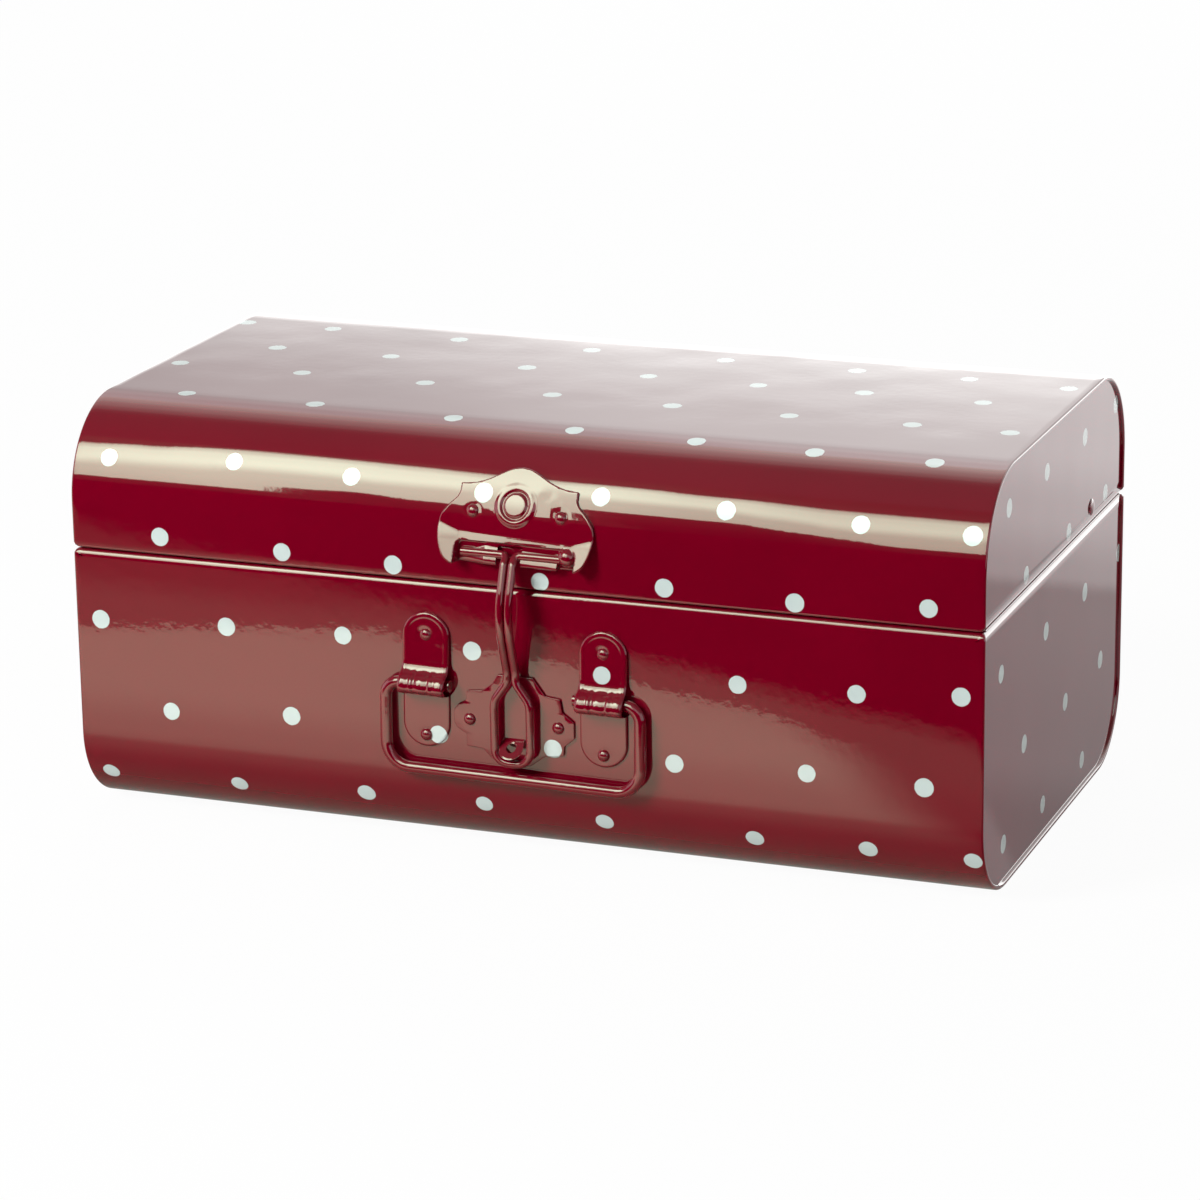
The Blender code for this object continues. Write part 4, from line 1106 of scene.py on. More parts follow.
@dataclass
class HaspPlate(PressedPlate):
    """The lid's plate: a shouldered shield with flared lobes, a pressed boss and a barrel for the hasp's ends."""

    name: str = "hasp_plate_pressing"
    node: str = "hasp_plate"
    body: Body = Body.LID
    step: float = 0.00036
    straight: float = 0.0080
    half_width: float = 0.0305
    foot: float = 0.0088
    top: float = 0.0450
    shift_x: float = 0.0019
    shift_up: float = 0.0006
    barrel_height: float = 0.0100
    barrel_slope: float = 0.62
    flare: float = 0.46
    window: Point3 = (-0.0232, 0.0240, 0.0030)
    notch: Point2 = (-0.0068, 0.0028)
    notch_top: float = 0.0160
    boss: Point2 = (-0.0006, 0.0308)
    rivet_x: float = 0.0173
    rivet_height: float = 0.0281
    lower_shares: tuple[Point2, ...] = (
        (0.78, 0.0), (0.83, 0.02), (0.90, 0.065), (0.955, 0.155), (0.99, 0.26), (1.0, 0.37), (0.97, 0.47), (0.88, 0.57), (0.79, 0.645), (0.757, 0.70),
    )
    upper_shares: tuple[Point2, ...] = ((0.755, 0.793), (0.735, 0.803), (0.60, 0.806), (0.42, 0.855), (0.25, 0.93), (0.12, 0.982), (0.0, 1.0))

    def outline(self) -> list[Point2]:
        """The shield's right half."""
        line = smooth_run(self.lower_shares, 6) + smooth_run(self.upper_shares, 6)
        return [(max(0.0, u) * self.half_width, self.foot + v * (self.top - self.foot)) for u, v in line]

    def levels(self) -> list[float]:
        """The row at the notch's upper edge."""
        return [self.notch_top]

    def columns(self) -> list[float]:
        """The columns at the notch's sides."""
        return list(self.notch)

    def is_open(self, x: float, t: float) -> bool:
        """The notch where the hasp's legs come out of the barrel."""
        return self.notch[0] < x < self.notch[1] and t < self.notch_top

    def relief(self, x: np.ndarray, t: np.ndarray, edge: np.ndarray) -> np.ndarray:
        """Crown, flared border round a window, boss with its groove, dimples round the rivets, and the barrel."""
        crown = 4.8 * np.clip((x + 0.018) / 0.010, 0, 1)
        ground = PLATE_FACE + crown * np.maximum(0, 0.0349 - np.maximum(t, 0.0272)) ** 2 + 8.0 * np.maximum(0, t - 0.0349) ** 2
        start = 0.0008
        deep = 0.0194 - 0.0395 * x + 0.0025 * np.clip((np.abs(x) - 0.0225) / 0.008, 0, 1) - t
        flare = self.flare * np.where(deep > start, deep, np.maximum(0, deep + start) ** 2 / (4 * start))
        left, right, turn = self.window
        aside = np.maximum(left + turn - x, x - right + turn)
        above = t - (0.0172 - 0.012 * x - turn)
        away = np.hypot(np.maximum(aside, 0), np.maximum(above, 0)) + np.minimum(np.maximum(aside, above), 0) - turn
        ground = ground + flare * (1 - np.clip(-away / 0.0005, 0, 1))
        away = np.hypot(x - self.boss[0], t - self.boss[1])
        rim = np.clip((0.0084 - away) / 0.0018, 0, 1)
        ground += rim * rim * (3 - 2 * rim) * (0.00055 - 0.09 * (t - self.boss[1])) - 0.0008 * swell(away - 0.0049, 0.0011)
        for side in (-1, 1):
            ground -= 0.00016 * swell(np.hypot(x - side * self.rivet_x, t - self.rivet_height), 0.0042)
        ground += self.dents(x, t, 90, 0.00003, 5)
        taper = np.clip((x + 0.0235) / 0.0120, 0, 1)
        down = t - self.barrel_height + 0.045 * x
        soft = 0.0007
        peak = PLATE_FACE + 0.0029 * taper
        upper = peak - self.barrel_slope * (np.sqrt(down**2 + soft**2) - soft)
        under = peak * np.sqrt(np.maximum(1 - (down / 0.0031) ** 2, 0))
        barrel = np.where(down > 0, upper, under)
        barrel = np.where(x > 0.0172, PLATE_FACE + np.sqrt(np.maximum(0.0036**2 - (x - 0.0204) ** 2 - (t - 0.0136) ** 2, 0)), barrel)
        return np.maximum(ground, barrel)

    def place(self, x: float, t: float, proud: float) -> Point3:
        """Lay the plate round the lid's curve."""
        y, z = LID_TROUGH.section(t + self.shift_up - 0.0002, -proud)
        return x + self.shift_x, y, z

    def pattern(self, x: float, t: float) -> Point2:
        """The place in the lid's pattern."""
        return (x + self.shift_x) / MM, (t + self.shift_up) / MM

    def dots(self) -> np.ndarray:
        """The lid's dots run on over the plate."""
        return DOTS.lid()


@dataclass
class HandleBracket(PressedPlate):
    """A bracket with rounded ends, pressed over the handle's wire with two stiffening ribs."""

    side_name: str = "left"
    side: int = -1
    middle_x: float = 0.0355
    half_width: float = 0.00935
    low: float = 0.0415
    high: float = 0.0940
    pivot: float = 0.0670
    barrel_drop: float = 0.0012
    barrel_radius: float = 0.0052
    crease: float = 0.0052
    steepest_deg: float = 67.0
    barrel_under: float = 0.0035
    rib_place: float = 0.0039
    rib_half_width: float = 0.0015
    rib_height: float = 0.0006
    step: float = 0.00035
    edge_round: float = 0.0010
    lean: float = 0.0
    shift_x: float = 0.0
    shift_up: float = 0.0

    def __post_init__(self) -> None:
        """Name the piece after its side."""
        self.node = f"bracket_{self.side_name}"
        self.name = self.node + "_pressing"

    def outline(self) -> list[Point2]:
        """The right half of an upright outline with round ends."""
        w = self.half_width
        turn = [pi / 2 * i / 20 for i in range(21)]
        lower = [(w * sin(a), self.low + w * (1 - cos(a))) for a in turn]
        return lower + [(w * cos(a), self.high - w + w * sin(a)) for a in turn]

    def levels(self) -> list[float]:
        """Rows that follow the barrel's underside."""
        return [self.pivot - self.barrel_drop - self.barrel_under * sin(radians(a)) for a in (45, 62, 76, 86)]

    def climb(self, above: np.ndarray) -> np.ndarray:
        """The barrel's upper side and the crease that joins it to the tab.

        Args:
            above: Distances above the barrel's axis.

        Returns:
            The heights above the tab.
        """
        steepest = radians(self.steepest_deg)
        high = (self.barrel_radius + self.crease) * (1 - cos(steepest))
        start = (self.barrel_radius + self.crease) * sin(steepest)
        crown = high - self.barrel_radius + np.sqrt(np.maximum(self.barrel_radius**2 - above**2, 0))
        hollow = self.crease - np.sqrt(np.maximum(self.crease**2 - np.maximum(start - above, 0) ** 2, 0))
        return np.where(above < self.barrel_radius * sin(steepest), crown, hollow)

    def relief(self, x: np.ndarray, t: np.ndarray, edge: np.ndarray) -> np.ndarray:
        """The leaning upper tab, the barrel with its ribs, and the flat lower tab."""
        above = t - self.pivot + self.barrel_drop
        lean = 0.055 * (self.high - np.maximum(above, 0.0096) - self.pivot + self.barrel_drop)
        upper = PLATE_FACE + lean - 0.00035 * swell(np.hypot(x + 0.0006, t - 0.0852), 0.0046) + 0.00010 * swell(edge - 0.0016, 0.0009)
        upper += self.dents(x, t, 16, 0.00004, 3 + self.side)
        lower = PLATE_FACE + self.dents(x, t, 10, 0.00002, 7 + self.side) - 0.0001 * swell(np.hypot(x, t - 0.0463), 0.0042)
        rib = self.rib_height * (swell(x - self.rib_place, self.rib_half_width) + swell(x + self.rib_place, self.rib_half_width))
        land = np.where(np.abs(x) < self.rib_place, (x / 0.0028) ** 2, ((np.abs(x) - 0.0070) / 0.0026) ** 2)
        wave = (rib - 0.00055 * np.minimum(land, 1)) * np.clip((0.0066 - above) / 0.0020, 0, 1)
        under = (self.climb(np.zeros(1))[0] + lean.max()) * np.sqrt(np.maximum(1 - (above / self.barrel_under) ** 2, 0))
        wave_under = wave * np.sqrt(np.maximum(1 - (above / self.barrel_under) ** 2, 0))
        return np.where(above >= 0, upper + self.climb(above) + wave, lower + under + wave_under)

    def spot(self, x: float, t: float) -> Point2:
        """The x and z of a place on the bracket, which sits a little askew."""
        return self.side * self.middle_x + self.shift_x + x + (t - self.pivot) * self.lean, t + self.shift_up - x * self.lean

    def place(self, x: float, t: float, proud: float) -> Point3:
        """Stand the bracket on the base's front."""
        px, pz = self.spot(x, t)
        return px, -HALF_DEPTH - proud, pz

    def pattern(self, x: float, t: float) -> Point2:
        """The place in the base's pattern."""
        px, pz = self.spot(x, t)
        return px / MM, (SPLIT_Z - pz) / MM

    def dots(self) -> np.ndarray:
        """The base's dots run on over the bracket."""
        return DOTS.base()


BRACKET_LEAN = {"left": 0.018, "right": 0.008}
BRACKET_SHIFT = {"left": (0.0006, 0.0), "right": (0.0, -0.0009)}


def flat_outline(name: str, loops: Sequence[Sequence[Point2]], thickness: float, rounding: float, frame_matrix: Matrix) -> bpy.types.Object:
    """A flat outline with holes as a solid with rounded edges.

    Args:
        name: The piece's name.
        loops: The outline and its holes.
        thickness: The solid's thickness.
        rounding: The radius of its edges.
        frame_matrix: Where the outline's plane lies.

    Returns:
        The piece.
    """
    curve = bpy.data.curves.new(name + "_outline", "CURVE")
    curve.dimensions = "2D"
    curve.fill_mode = "BOTH"
    curve.extrude = thickness / 2 - rounding
    curve.bevel_depth = rounding
    curve.bevel_resolution = 2
    curve.offset = -rounding
    for loop in loops:
        spline = curve.splines.new("POLY")
        spline.points.add(len(loop) - 1)
        for point, (u, v) in zip(spline.points, loop):
            point.co = (u, v, 0, 1)
        spline.use_cyclic_u = True
    holder = bpy.data.objects.new(name + "_outline", curve)
    bpy.context.scene.collection.objects.link(holder)
    bpy.context.view_layer.update()
    mesh = bpy.data.meshes.new_from_object(holder.evaluated_get(bpy.context.evaluated_depsgraph_get()))
    bpy.data.objects.remove(holder)
    shape = bmesh.new()
    shape.from_mesh(mesh)
    bmesh.ops.remove_doubles(shape, verts=shape.verts, dist=1e-6)
    bmesh.ops.transform(shape, matrix=frame_matrix, verts=shape.verts)
    bmesh.ops.recalc_face_normals(shape, faces=shape.faces)
    shape.to_mesh(mesh)
    shape.free()
    return finish_mesh(mesh, name, 35.0)


def rounded(corners: Sequence[Point2], radius: float, steps: int = 4) -> list[Point2]:
    """A closed outline with each corner turned in an arc.

    Args:
        corners: Its corners.
        radius: The arcs' radius, less at short sides.
        steps: The steps of each arc.

    Returns:
        The outline.
    """
    made = []
    for before, at, after in zip([corners[-1], *corners[:-1]], corners, [*corners[1:], corners[0]]):
        p, c, q = Vector(before), Vector(at), Vector(after)
        back, ahead = (p - c), (q - c)
        half = back.angle(ahead) / 2
        reach = min(radius / tan(half), back.length * 0.45, ahead.length * 0.45)
        start, end = c + back.normalized() * reach, c + ahead.normalized() * reach
        for i in range(steps + 1):
            t = i / steps
            point = start * (1 - t) ** 2 + c * (2 * t * (1 - t)) + end * t * t
            made.append((point.x, point.y))
    return made


def arc_points(cx: float, cy: float, radius: float, start_deg: float, end_deg: float, steps: int) -> list[Point2]:
    """Points of an arc, both ends included."""
    angles = [radians(start_deg + (end_deg - start_deg) * i / steps) for i in range(steps + 1)]
    return [(cx + radius * cos(a), cy + radius * sin(a)) for a in angles]


def turned_path(corners: Sequence[Sequence[float]], radii: Sequence[float], steps: int) -> list[Vector]:
    """A path through corners, with each inner corner turned in an arc of its radius.

    Args:
        corners: The corners.
        radii: The radius at each inner corner.
        steps: The steps of each arc.

    Returns:
        The path's points.
    """
    points = [Vector(c) for c in corners]
    path = [points[0]]
    for before, corner, after, radius in zip(points, points[1:], points[2:], radii):
        back, ahead = (before - corner).normalized(), (after - corner).normalized()
        half = back.angle(ahead) / 2
        centre = corner + (back + ahead).normalized() * radius / sin(half)
        start = corner + back * radius / tan(half) - centre
        end = corner + ahead * radius / tan(half) - centre
        turn = start.angle(end)
        for i in range(steps + 1):
            share = i / steps
            path.append(centre + (start * sin((1 - share) * turn) + end * sin(share * turn)) / sin(turn))
    return [*path, points[-1]]


@dataclass
class Hasp:
    """The hasp: one wire bent double, with a neck and a loop that drops over the ear."""

    finishes: Finishes
    wire: float = 0.00158
    pivot_proud: float = 0.00225
    pivot_z: float = 0.1194
    half_gap: float = 0.00010
    end_x: float = 0.0195
    loop_half_width: float = 0.0071
    reach: float = 0.0799
    shift_x: float = 0.0006

    def build(self) -> bpy.types.Object:
        """Build and dress the hasp.

        Returns:
            The piece.
        """
        leg = self.wire + self.half_gap
        root = self.pivot_proud
        loop = root - (PLATE_FACE + 0.0018 + self.wire)
        right = [
            (self.end_x, 0, 0), (leg, 0, 0), (leg, root - 0.0054, -0.0028), (leg, root - 0.0124, -0.0214), (leg, loop, -0.0440),
            (leg, loop, -0.0484), (self.loop_half_width, loop, -0.0560), (self.loop_half_width, loop, -self.reach),
        ]
        radii = [0.0022, 0.0030, 0.0280, 0.0120, 0.0060, 0.0080, 0.0056]
        left = [(-x, y, z) for x, y, z in right]
        pivot = Vector((self.shift_x, -HALF_DEPTH - root, self.pivot_z))
        path = [pivot + p for p in turned_path(left + right[::-1], radii + radii[::-1], 14)]
        piece = round_bar("hasp_bent_wire", path, self.wire, self.finishes.plain, 32)
        dress(piece, Body.HASP, [self.finishes.plain], ["hasp_link"])
        return piece


@dataclass
class DropHandle:
    """The drop handle's wire bail."""

    finishes: Finishes
    wire: float = 0.0023
    pivot_proud: float = 0.00275
    pivot_z: float = 0.0670
    end_x: float = 0.0245
    half_width: float = 0.0505
    drop: float = 0.0322
    top_bend: float = 0.0060
    corner_bend: float = 0.0095

    def build(self) -> bpy.types.Object:
        """Build and dress the bail.

        Returns:
            The piece.
        """
        right = [(self.end_x, 0, 0), (self.half_width, 0, 0), (self.half_width, 0, -self.drop)]
        left = [(-x, y, z) for x, y, z in right]
        radii = [self.top_bend, self.corner_bend]
        pivot = Vector((0, -HALF_DEPTH - self.pivot_proud, self.pivot_z))
        path = []
        for p in turned_path(left + right[::-1], radii + radii[::-1], 20):
            hang = -p.z / self.drop
            path.append(pivot + p + Vector((0, p.z * 0.03, -0.0005 - 0.0011 * hang - 0.014 * p.x * (0.4 + 0.6 * hang))))
        piece = round_bar("handle_bent_wire", path, self.wire, self.finishes.plain, 36)
        dress(piece, Body.HANDLE, [self.finishes.plain], ["handle_bail"])
        return piece


@dataclass
class CatchPlate:
    """The stepped plate on the base, with the padlock's ear bent out of it."""

    finishes: Finishes
    half_width: float = 0.0238
    low: float = 0.0380
    high: float = 0.0725
    ear_z: float = 0.0486
    ear_half_width: float = 0.0047
    ear_length: float = 0.0101
    ear_bend: float = 0.0016
    ear_slope_deg: float = 41.0
    hole: Point2 = (0.0019, 0.0025)
    cut: float = 0.0040
    left_shares: tuple[Point2, ...] = (
        (0.26, 0.0), (0.40, 0.06), (0.52, 0.15), (0.80, 0.162), (0.80, 0.30), (0.95, 0.355), (1.0, 0.42),
        (1.0, 0.56), (0.93, 0.63), (0.80, 0.67), (0.78, 0.785), (0.52, 0.805), (0.36, 0.89), (0.26, 1.0),
    )
    right_shares: tuple[Point2, ...] = (
        (0.26, 0.0), (0.52, 0.133), (0.82, 0.157), (0.83, 0.26), (1.0, 0.36), (1.0, 0.545), (0.81, 0.64), (0.773, 0.79), (0.525, 0.81), (0.32, 1.0),
    )

    def corners(self, shares: Sequence[Point2], side: int) -> list[Point2]:
        """One half of the outline, from its foot up."""
        return [(side * u * self.half_width, self.low + v * (self.high - self.low)) for u, v in shares]

    def bent(self, point: Vector) -> Point3:
        """Carry a point of the flat ear to the bent one.

        Args:
            point: Across, along from the plate, and up through the thickness.

        Returns:
            Its place.
        """
        turn = pi / 2 - radians(self.ear_slope_deg)
        along, up = point.y, point.z
        angle = min(along / self.ear_bend, turn)
        beyond = max(0.0, along - self.ear_bend * turn)
        y = self.ear_bend * (1 - cos(angle)) + beyond * sin(angle) - up * cos(angle)
        z = self.ear_bend * sin(angle) + beyond * cos(angle) + up * sin(angle)
        return point.x, -HALF_DEPTH - PLATE_BACK - PLATE / 2 - y, self.ear_z - self.ear_bend + z - 2 * beyond * cos(angle)

    def build(self) -> bpy.types.Object:
        """Build and dress the plate and its ear.

        Returns:
            The piece.
        """
        outline = rounded(self.corners(self.right_shares, 1) + self.corners(self.left_shares, -1)[::-1], 0.0007)
        middle = -HALF_DEPTH - PLATE_BACK - PLATE / 2
        standing = Matrix(((1, 0, 0, 0), (0, 0, -1, middle), (0, 1, 0, 0), (0, 0, 0, 1)))
        plate = flat_outline("catch_plate_pressing", [outline], PLATE, 0.00025, standing)
        cut_across(plate, ((0, 0.0, 12), (2, 0.055, 9)), self.cut)
        tip, reach = self.ear_half_width, self.ear_length
        ear = [(tip * 0.86, 0.0), *arc_points(0, reach - tip, tip, 0, 180, 24), (-tip * 0.86, 0.0)]
        ring = [(u * self.hole[0] / self.hole[1], reach - tip + (v - reach + tip)) for u, v in arc_points(0, reach - tip, self.hole[1], 0, 345, 23)]
        tab = flat_outline("padlock_ear", [ear, ring], 0.0011, 0.00025, Matrix.Identity(4))
        cut_across(tab, ((1, self.ear_length / 2, 18),), 0.00025)
        for vertex in tab.data.vertices:
            vertex.co = self.bent(vertex.co.copy())
        places = np.array([v.co[:] for v in plate.data.vertices])
        pattern = np.column_stack((places[:, 0], SPLIT_Z - places[:, 2])) / MM
        front = np.array([p.normal.y < -0.3 for p in plate.data.polygons])
        print_dots(plate.data, pattern, front, DOTS.base())
        dress(plate, Body.BASE, [self.finishes.dotted], ["catch_plate"])
        dress(tab, Body.BASE, [self.finishes.plain])
        return plate


def cut_across(piece: bpy.types.Object, axes: Sequence[tuple[int, float, int]], step: float) -> None:
    """Cut a flat piece's faces along even planes.

    Args:
        piece: The piece.
        axes: For each set of planes its axis, its middle and how many lie on each side.
        step: The distance between planes.
    """
    shape = bmesh.new()
    shape.from_mesh(piece.data)
    for axis, middle, count in axes:
        for i in range(-count, count + 1):
            spot, normal = Vector((0, 0, 0)), Vector((0, 0, 0))
            spot[axis] = middle + i * step
            normal[axis] = 1
            bmesh.ops.bisect_plane(shape, geom=shape.verts[:] + shape.edges[:] + shape.faces[:], plane_co=spot, plane_no=normal)
    shape.to_mesh(piece.data)
    shape.free()


def lathe(name: str, profile: Sequence[Point2], place: Point3, axis: Point3, steps: int = 48) -> bpy.types.Object:
    """A turned solid from radii and heights along an axis.

    Args:
        name: The piece's name.
        profile: Radius and height from one end to the other, both on the axis.
        place: The axis's zero.
        axis: The axis's direction.
        steps: The steps round it.

    Returns:
        The piece.
    """
    draft = Draft()
    turn = Vector(axis).to_track_quat("Z", "Y").to_matrix()
    rows = []
    for radius, height in profile:
        if radius < 1e-9:
            rows.append([draft.add(Vector(place) + turn @ Vector((0, 0, height)))] * steps)
            continue
        ring = [Vector((radius * cos(2 * pi * i / steps), radius * sin(2 * pi * i / steps), height)) for i in range(steps)]
        rows.append([draft.add(Vector(place) + turn @ p) for p in ring])
    for one, other in zip(rows, rows[1:]):
        draft.strip(one, other, closed=True)
    return draft.build(name)


@dataclass
class Hinge:
    """A butt hinge on the back: two rolled leaves on one pin."""

    finishes: Finishes
    side_name: str
    side: int
    middle_x: float = 0.1100
    half_width: float = 0.0200
    leaf_height: float = 0.0155
    setback: float = 0.0026
    knuckle: float = 0.0022
    axis_y: float = 0.1026
    gap: float = 0.0003
    middle_half: float = 0.0070
    pin: float = 0.0010
    wall: float = 0.0008

    def rolled(self, name: str, way: int, low: float, high: float) -> bpy.types.Object:
        """A knuckle rolled from the leaf: a strip that goes up past the pin and round it.

        Args:
            name: The piece's name.
            way: 1 for the lid's leaf and -1 for the base's.
            low: Where it starts along the pin.
            high: Where it ends.

        Returns:
            The piece.
        """
        foot = -self.setback - 0.0008
        outer = [(HALF_DEPTH + PLATE_BACK + 0.0001 - self.axis_y, foot)]
        outer += arc_points(0, 0, self.knuckle, 180, -140, 30)
        inner = arc_points(0, 0, self.knuckle - self.wall, -140, 180, 30)
        inner += [(HALF_DEPTH + PLATE_FACE - 0.0001 - self.axis_y, foot)]
        section = outer + inner
        draft = Draft()
        rows = []
        for x in (low, low + 0.0001, high - 0.0001, high):
            rows.append([draft.add((self.side * self.middle_x + x, self.axis_y + y, SPLIT_Z - way * z)) for y, z in section])
        for one, other in zip(rows, rows[1:]):
            draft.strip(one, other, closed=True)
        count = len(outer)
        for row in (rows[0], rows[-1]):
            draft.strip(row[:count], row[count:][::-1])
        return draft.build(name)

    def leaf(self, half: str, way: int, spans: Sequence[Point2], body: Body) -> None:
        """Build one leaf with its knuckles.

        Args:
            half: "lid" or "base".
            way: 1 for the lid and -1 for the base.
            spans: Where its knuckles are.
            body: The body that it rides on.
        """
        name = f"hinge_{self.side_name}_{half}_leaf"
        w, low, high = self.half_width, self.setback, self.leaf_height
        corners = [(-w, low), (w, low), (w, high), (-w, high)]
        loops = [rounded(corners, 0.0016, 6)]
        middle = HALF_DEPTH + PLATE_BACK + PLATE / 2
        standing = Matrix(((1, 0, 0, self.side * self.middle_x), (0, 0, 1, middle), (0, way, 0, SPLIT_Z), (0, 0, 0, 1)))
        plate = flat_outline(name + "_plate", loops, PLATE, 0.0002, standing)
        dress(plate, body, [self.finishes.plain], [name])
        for number, (a, b) in enumerate(spans):
            dress(self.rolled(f"{name}_knuckle_{number}", -way, a, b), body, [self.finishes.plain])

    def build(self) -> None:
        """Build both leaves and the pin."""
        inner = self.middle_half + self.gap
        self.leaf("lid", 1, [(-self.middle_half, self.middle_half)], Body.LID)
        self.leaf("base", -1, [(-self.half_width, -inner), (inner, self.half_width)], Body.BASE)
        reach = self.half_width + self.gap
        head = [(0.0, -reach - 0.0006), (0.0013, -reach - 0.0006), (0.0016, -reach - 0.0003), (0.0016, -reach), (self.pin, -reach)]
        profile = head + [(r, -h) for r, h in reversed(head)]
        place = (self.side * self.middle_x, self.axis_y, SPLIT_Z)
        pin = lathe(f"hinge_{self.side_name}_turned_pin", profile, place, (1, 0, 0), 32)
        dress(pin, Body.BASE, [self.finishes.plain], [f"hinge_{self.side_name}_pin"])


@dataclass
class LidStay:
    """A slotted zinc link between the lid and the base, on a rivet and a stud."""

    finishes: Finishes
    side_name: str
    side: int
    y: float = 0.0520
    rise: float = 0.0060
    half_width: float = 0.0040
    thickness: float = 0.0010
    standoff: float = 0.0012
    pin: float = 0.0015
    head: float = 0.0030
    panel_x: float = 0.1787
    reach: float = 0.0506
    range_deg: float = 100.0

    def chord(self, lid_deg: float) -> float:
        """The distance from the pivot to the stud at a lid angle."""
        return 2 * hypot(self.reach, self.rise) * sin(atan(self.rise / self.reach) + radians(lid_deg) / 2)

    def slot_loop(self, half: float, near: float, far: float) -> list[Point2]:
        """An outline with round ends between two centres."""
        return arc_points(0, -near, half, 0, 180, 20) + arc_points(0, -far, half, 180, 360, 20)

    def pin_profile(self, outer: Sequence[Point2]) -> list[Point2]:
        """The profile of a pin from its outer end to its head inside the case."""
        foot = -SHEET - 0.0003
        head = -SHEET - self.standoff - self.thickness - 0.0003
        inside = [(self.head, foot), (self.head, foot - 0.0006), (self.pin, foot - 0.0006), (self.pin, head), (self.head, head)]
        inside += [(self.head, head - 0.0006), (self.head - 0.0004, head - 0.0010), (0.0, head - 0.0010)]
        return [*outer, *inside]

    def build(self) -> None:
        """Build the link, its rivet and its stud."""
        x = self.side * (self.panel_x - SHEET - self.standoff - self.thickness / 2)
        standing = Matrix(((0, 0, 1, x), (1, 0, 0, self.y), (0, 1, 0, SPLIT_Z + self.rise), (0, 0, 0, 1)))
        gap = self.pin + 0.0003
        loops = [self.slot_loop(self.half_width, 0, self.chord(self.range_deg)), self.slot_loop(gap, self.chord(0), self.chord(self.range_deg))]
        loops.append(arc_points(0, 0, gap, 0, 345, 23))
        link = flat_outline(f"stay_{self.side_name}_link", loops, self.thickness, 0.00015, standing)
        dress(link, Body(f"stay_{self.side_name}"), [self.finishes.zinc], [f"stay_{self.side_name}"])
        dome = [(0.0034 * sin(a), 0.0002 + 0.0009 * (cos(a) - 0.26) / 0.74) for a in (radians(75) * i / 12 for i in range(13))]
        outer = [*dome, (0.0034 * sin(radians(75)), 0.0002), (self.pin, 0.0002), (self.pin, -SHEET - 0.0003)]
        axis = (float(self.side), 0.0, 0.0)
        rivet = lathe(f"stay_rivet_{self.side_name}_turned", self.pin_profile(outer), (self.side * self.panel_x, self.y, SPLIT_Z + self.rise), axis)
        dress(rivet, Body.LID, [self.finishes.plain], [f"stay_rivet_{self.side_name}"])
        stud = lathe(f"stay_stud_{self.side_name}_turned", self.pin_profile([(0.0, -SHEET - 0.0003)]), (self.side * self.panel_x, self.y, SPLIT_Z - self.rise), axis)
        dress(stud, Body.BASE, [self.finishes.zinc], [f"stay_stud_{self.side_name}"])


@dataclass
class PlateRivets:
    """The rivets that hold the plates and the hinges."""

    finishes: Finishes

    def lid_curve(self, x: float, height: float) -> tuple[Point3, Point3]:
        """A place on the lid's curve and the direction out of it."""
        y, z = LID_TROUGH.section(height - 0.0002, 0.0)
        angle = (height - 0.018) / 0.036
        return (x, y, z), (0.0, -cos(angle), sin(angle))

    def build(self) -> None:
        """Set the rivets of the lid and of the base, one piece for each."""
        front, rear = (0.0, -1.0, 0.0), (0.0, 1.0, 0.0)
        lid, base, lid_nodes, base_nodes = [], [], [], []
        for name, side in SIDES:
            lid.append(self.lid_curve(side * 0.0173 + 0.0020, 0.0283))
            lid_nodes.append(f"hasp_plate_rivet_{name}")
            base.append(((side * 0.0176, -HALF_DEPTH, 0.0542), front))
            base_nodes.append(f"catch_rivet_{name}")
            for level, z in (("upper", 0.0855), ("lower", 0.0463)):
                across, up = BRACKET_SHIFT[name]
                base.append(((side * 0.0355 + across + (z - 0.067) * BRACKET_LEAN[name], -HALF_DEPTH, z + up), front))
                base_nodes.append(f"bracket_{name}_rivet_{level}")
            for hand_name, hand in SIDES:
                x = side * 0.110 + hand * 0.012
                lid.append(((x, HALF_DEPTH, SPLIT_Z + 0.010), rear))
                base.append(((x, HALF_DEPTH, SPLIT_Z - 0.010), rear))
                lid_nodes.append(f"hinge_{name}_lid_leaf_rivet_{hand_name}")
                base_nodes.append(f"hinge_{name}_base_leaf_rivet_{hand_name}")
        for name, body, places, nodes in (("lid_rivets", Body.LID, lid, lid_nodes), ("base_rivets", Body.BASE, base, base_nodes)):
            piece = RivetSet().build(name, places, self.finishes.plain)
            dress(piece, body, [self.finishes.plain], nodes)


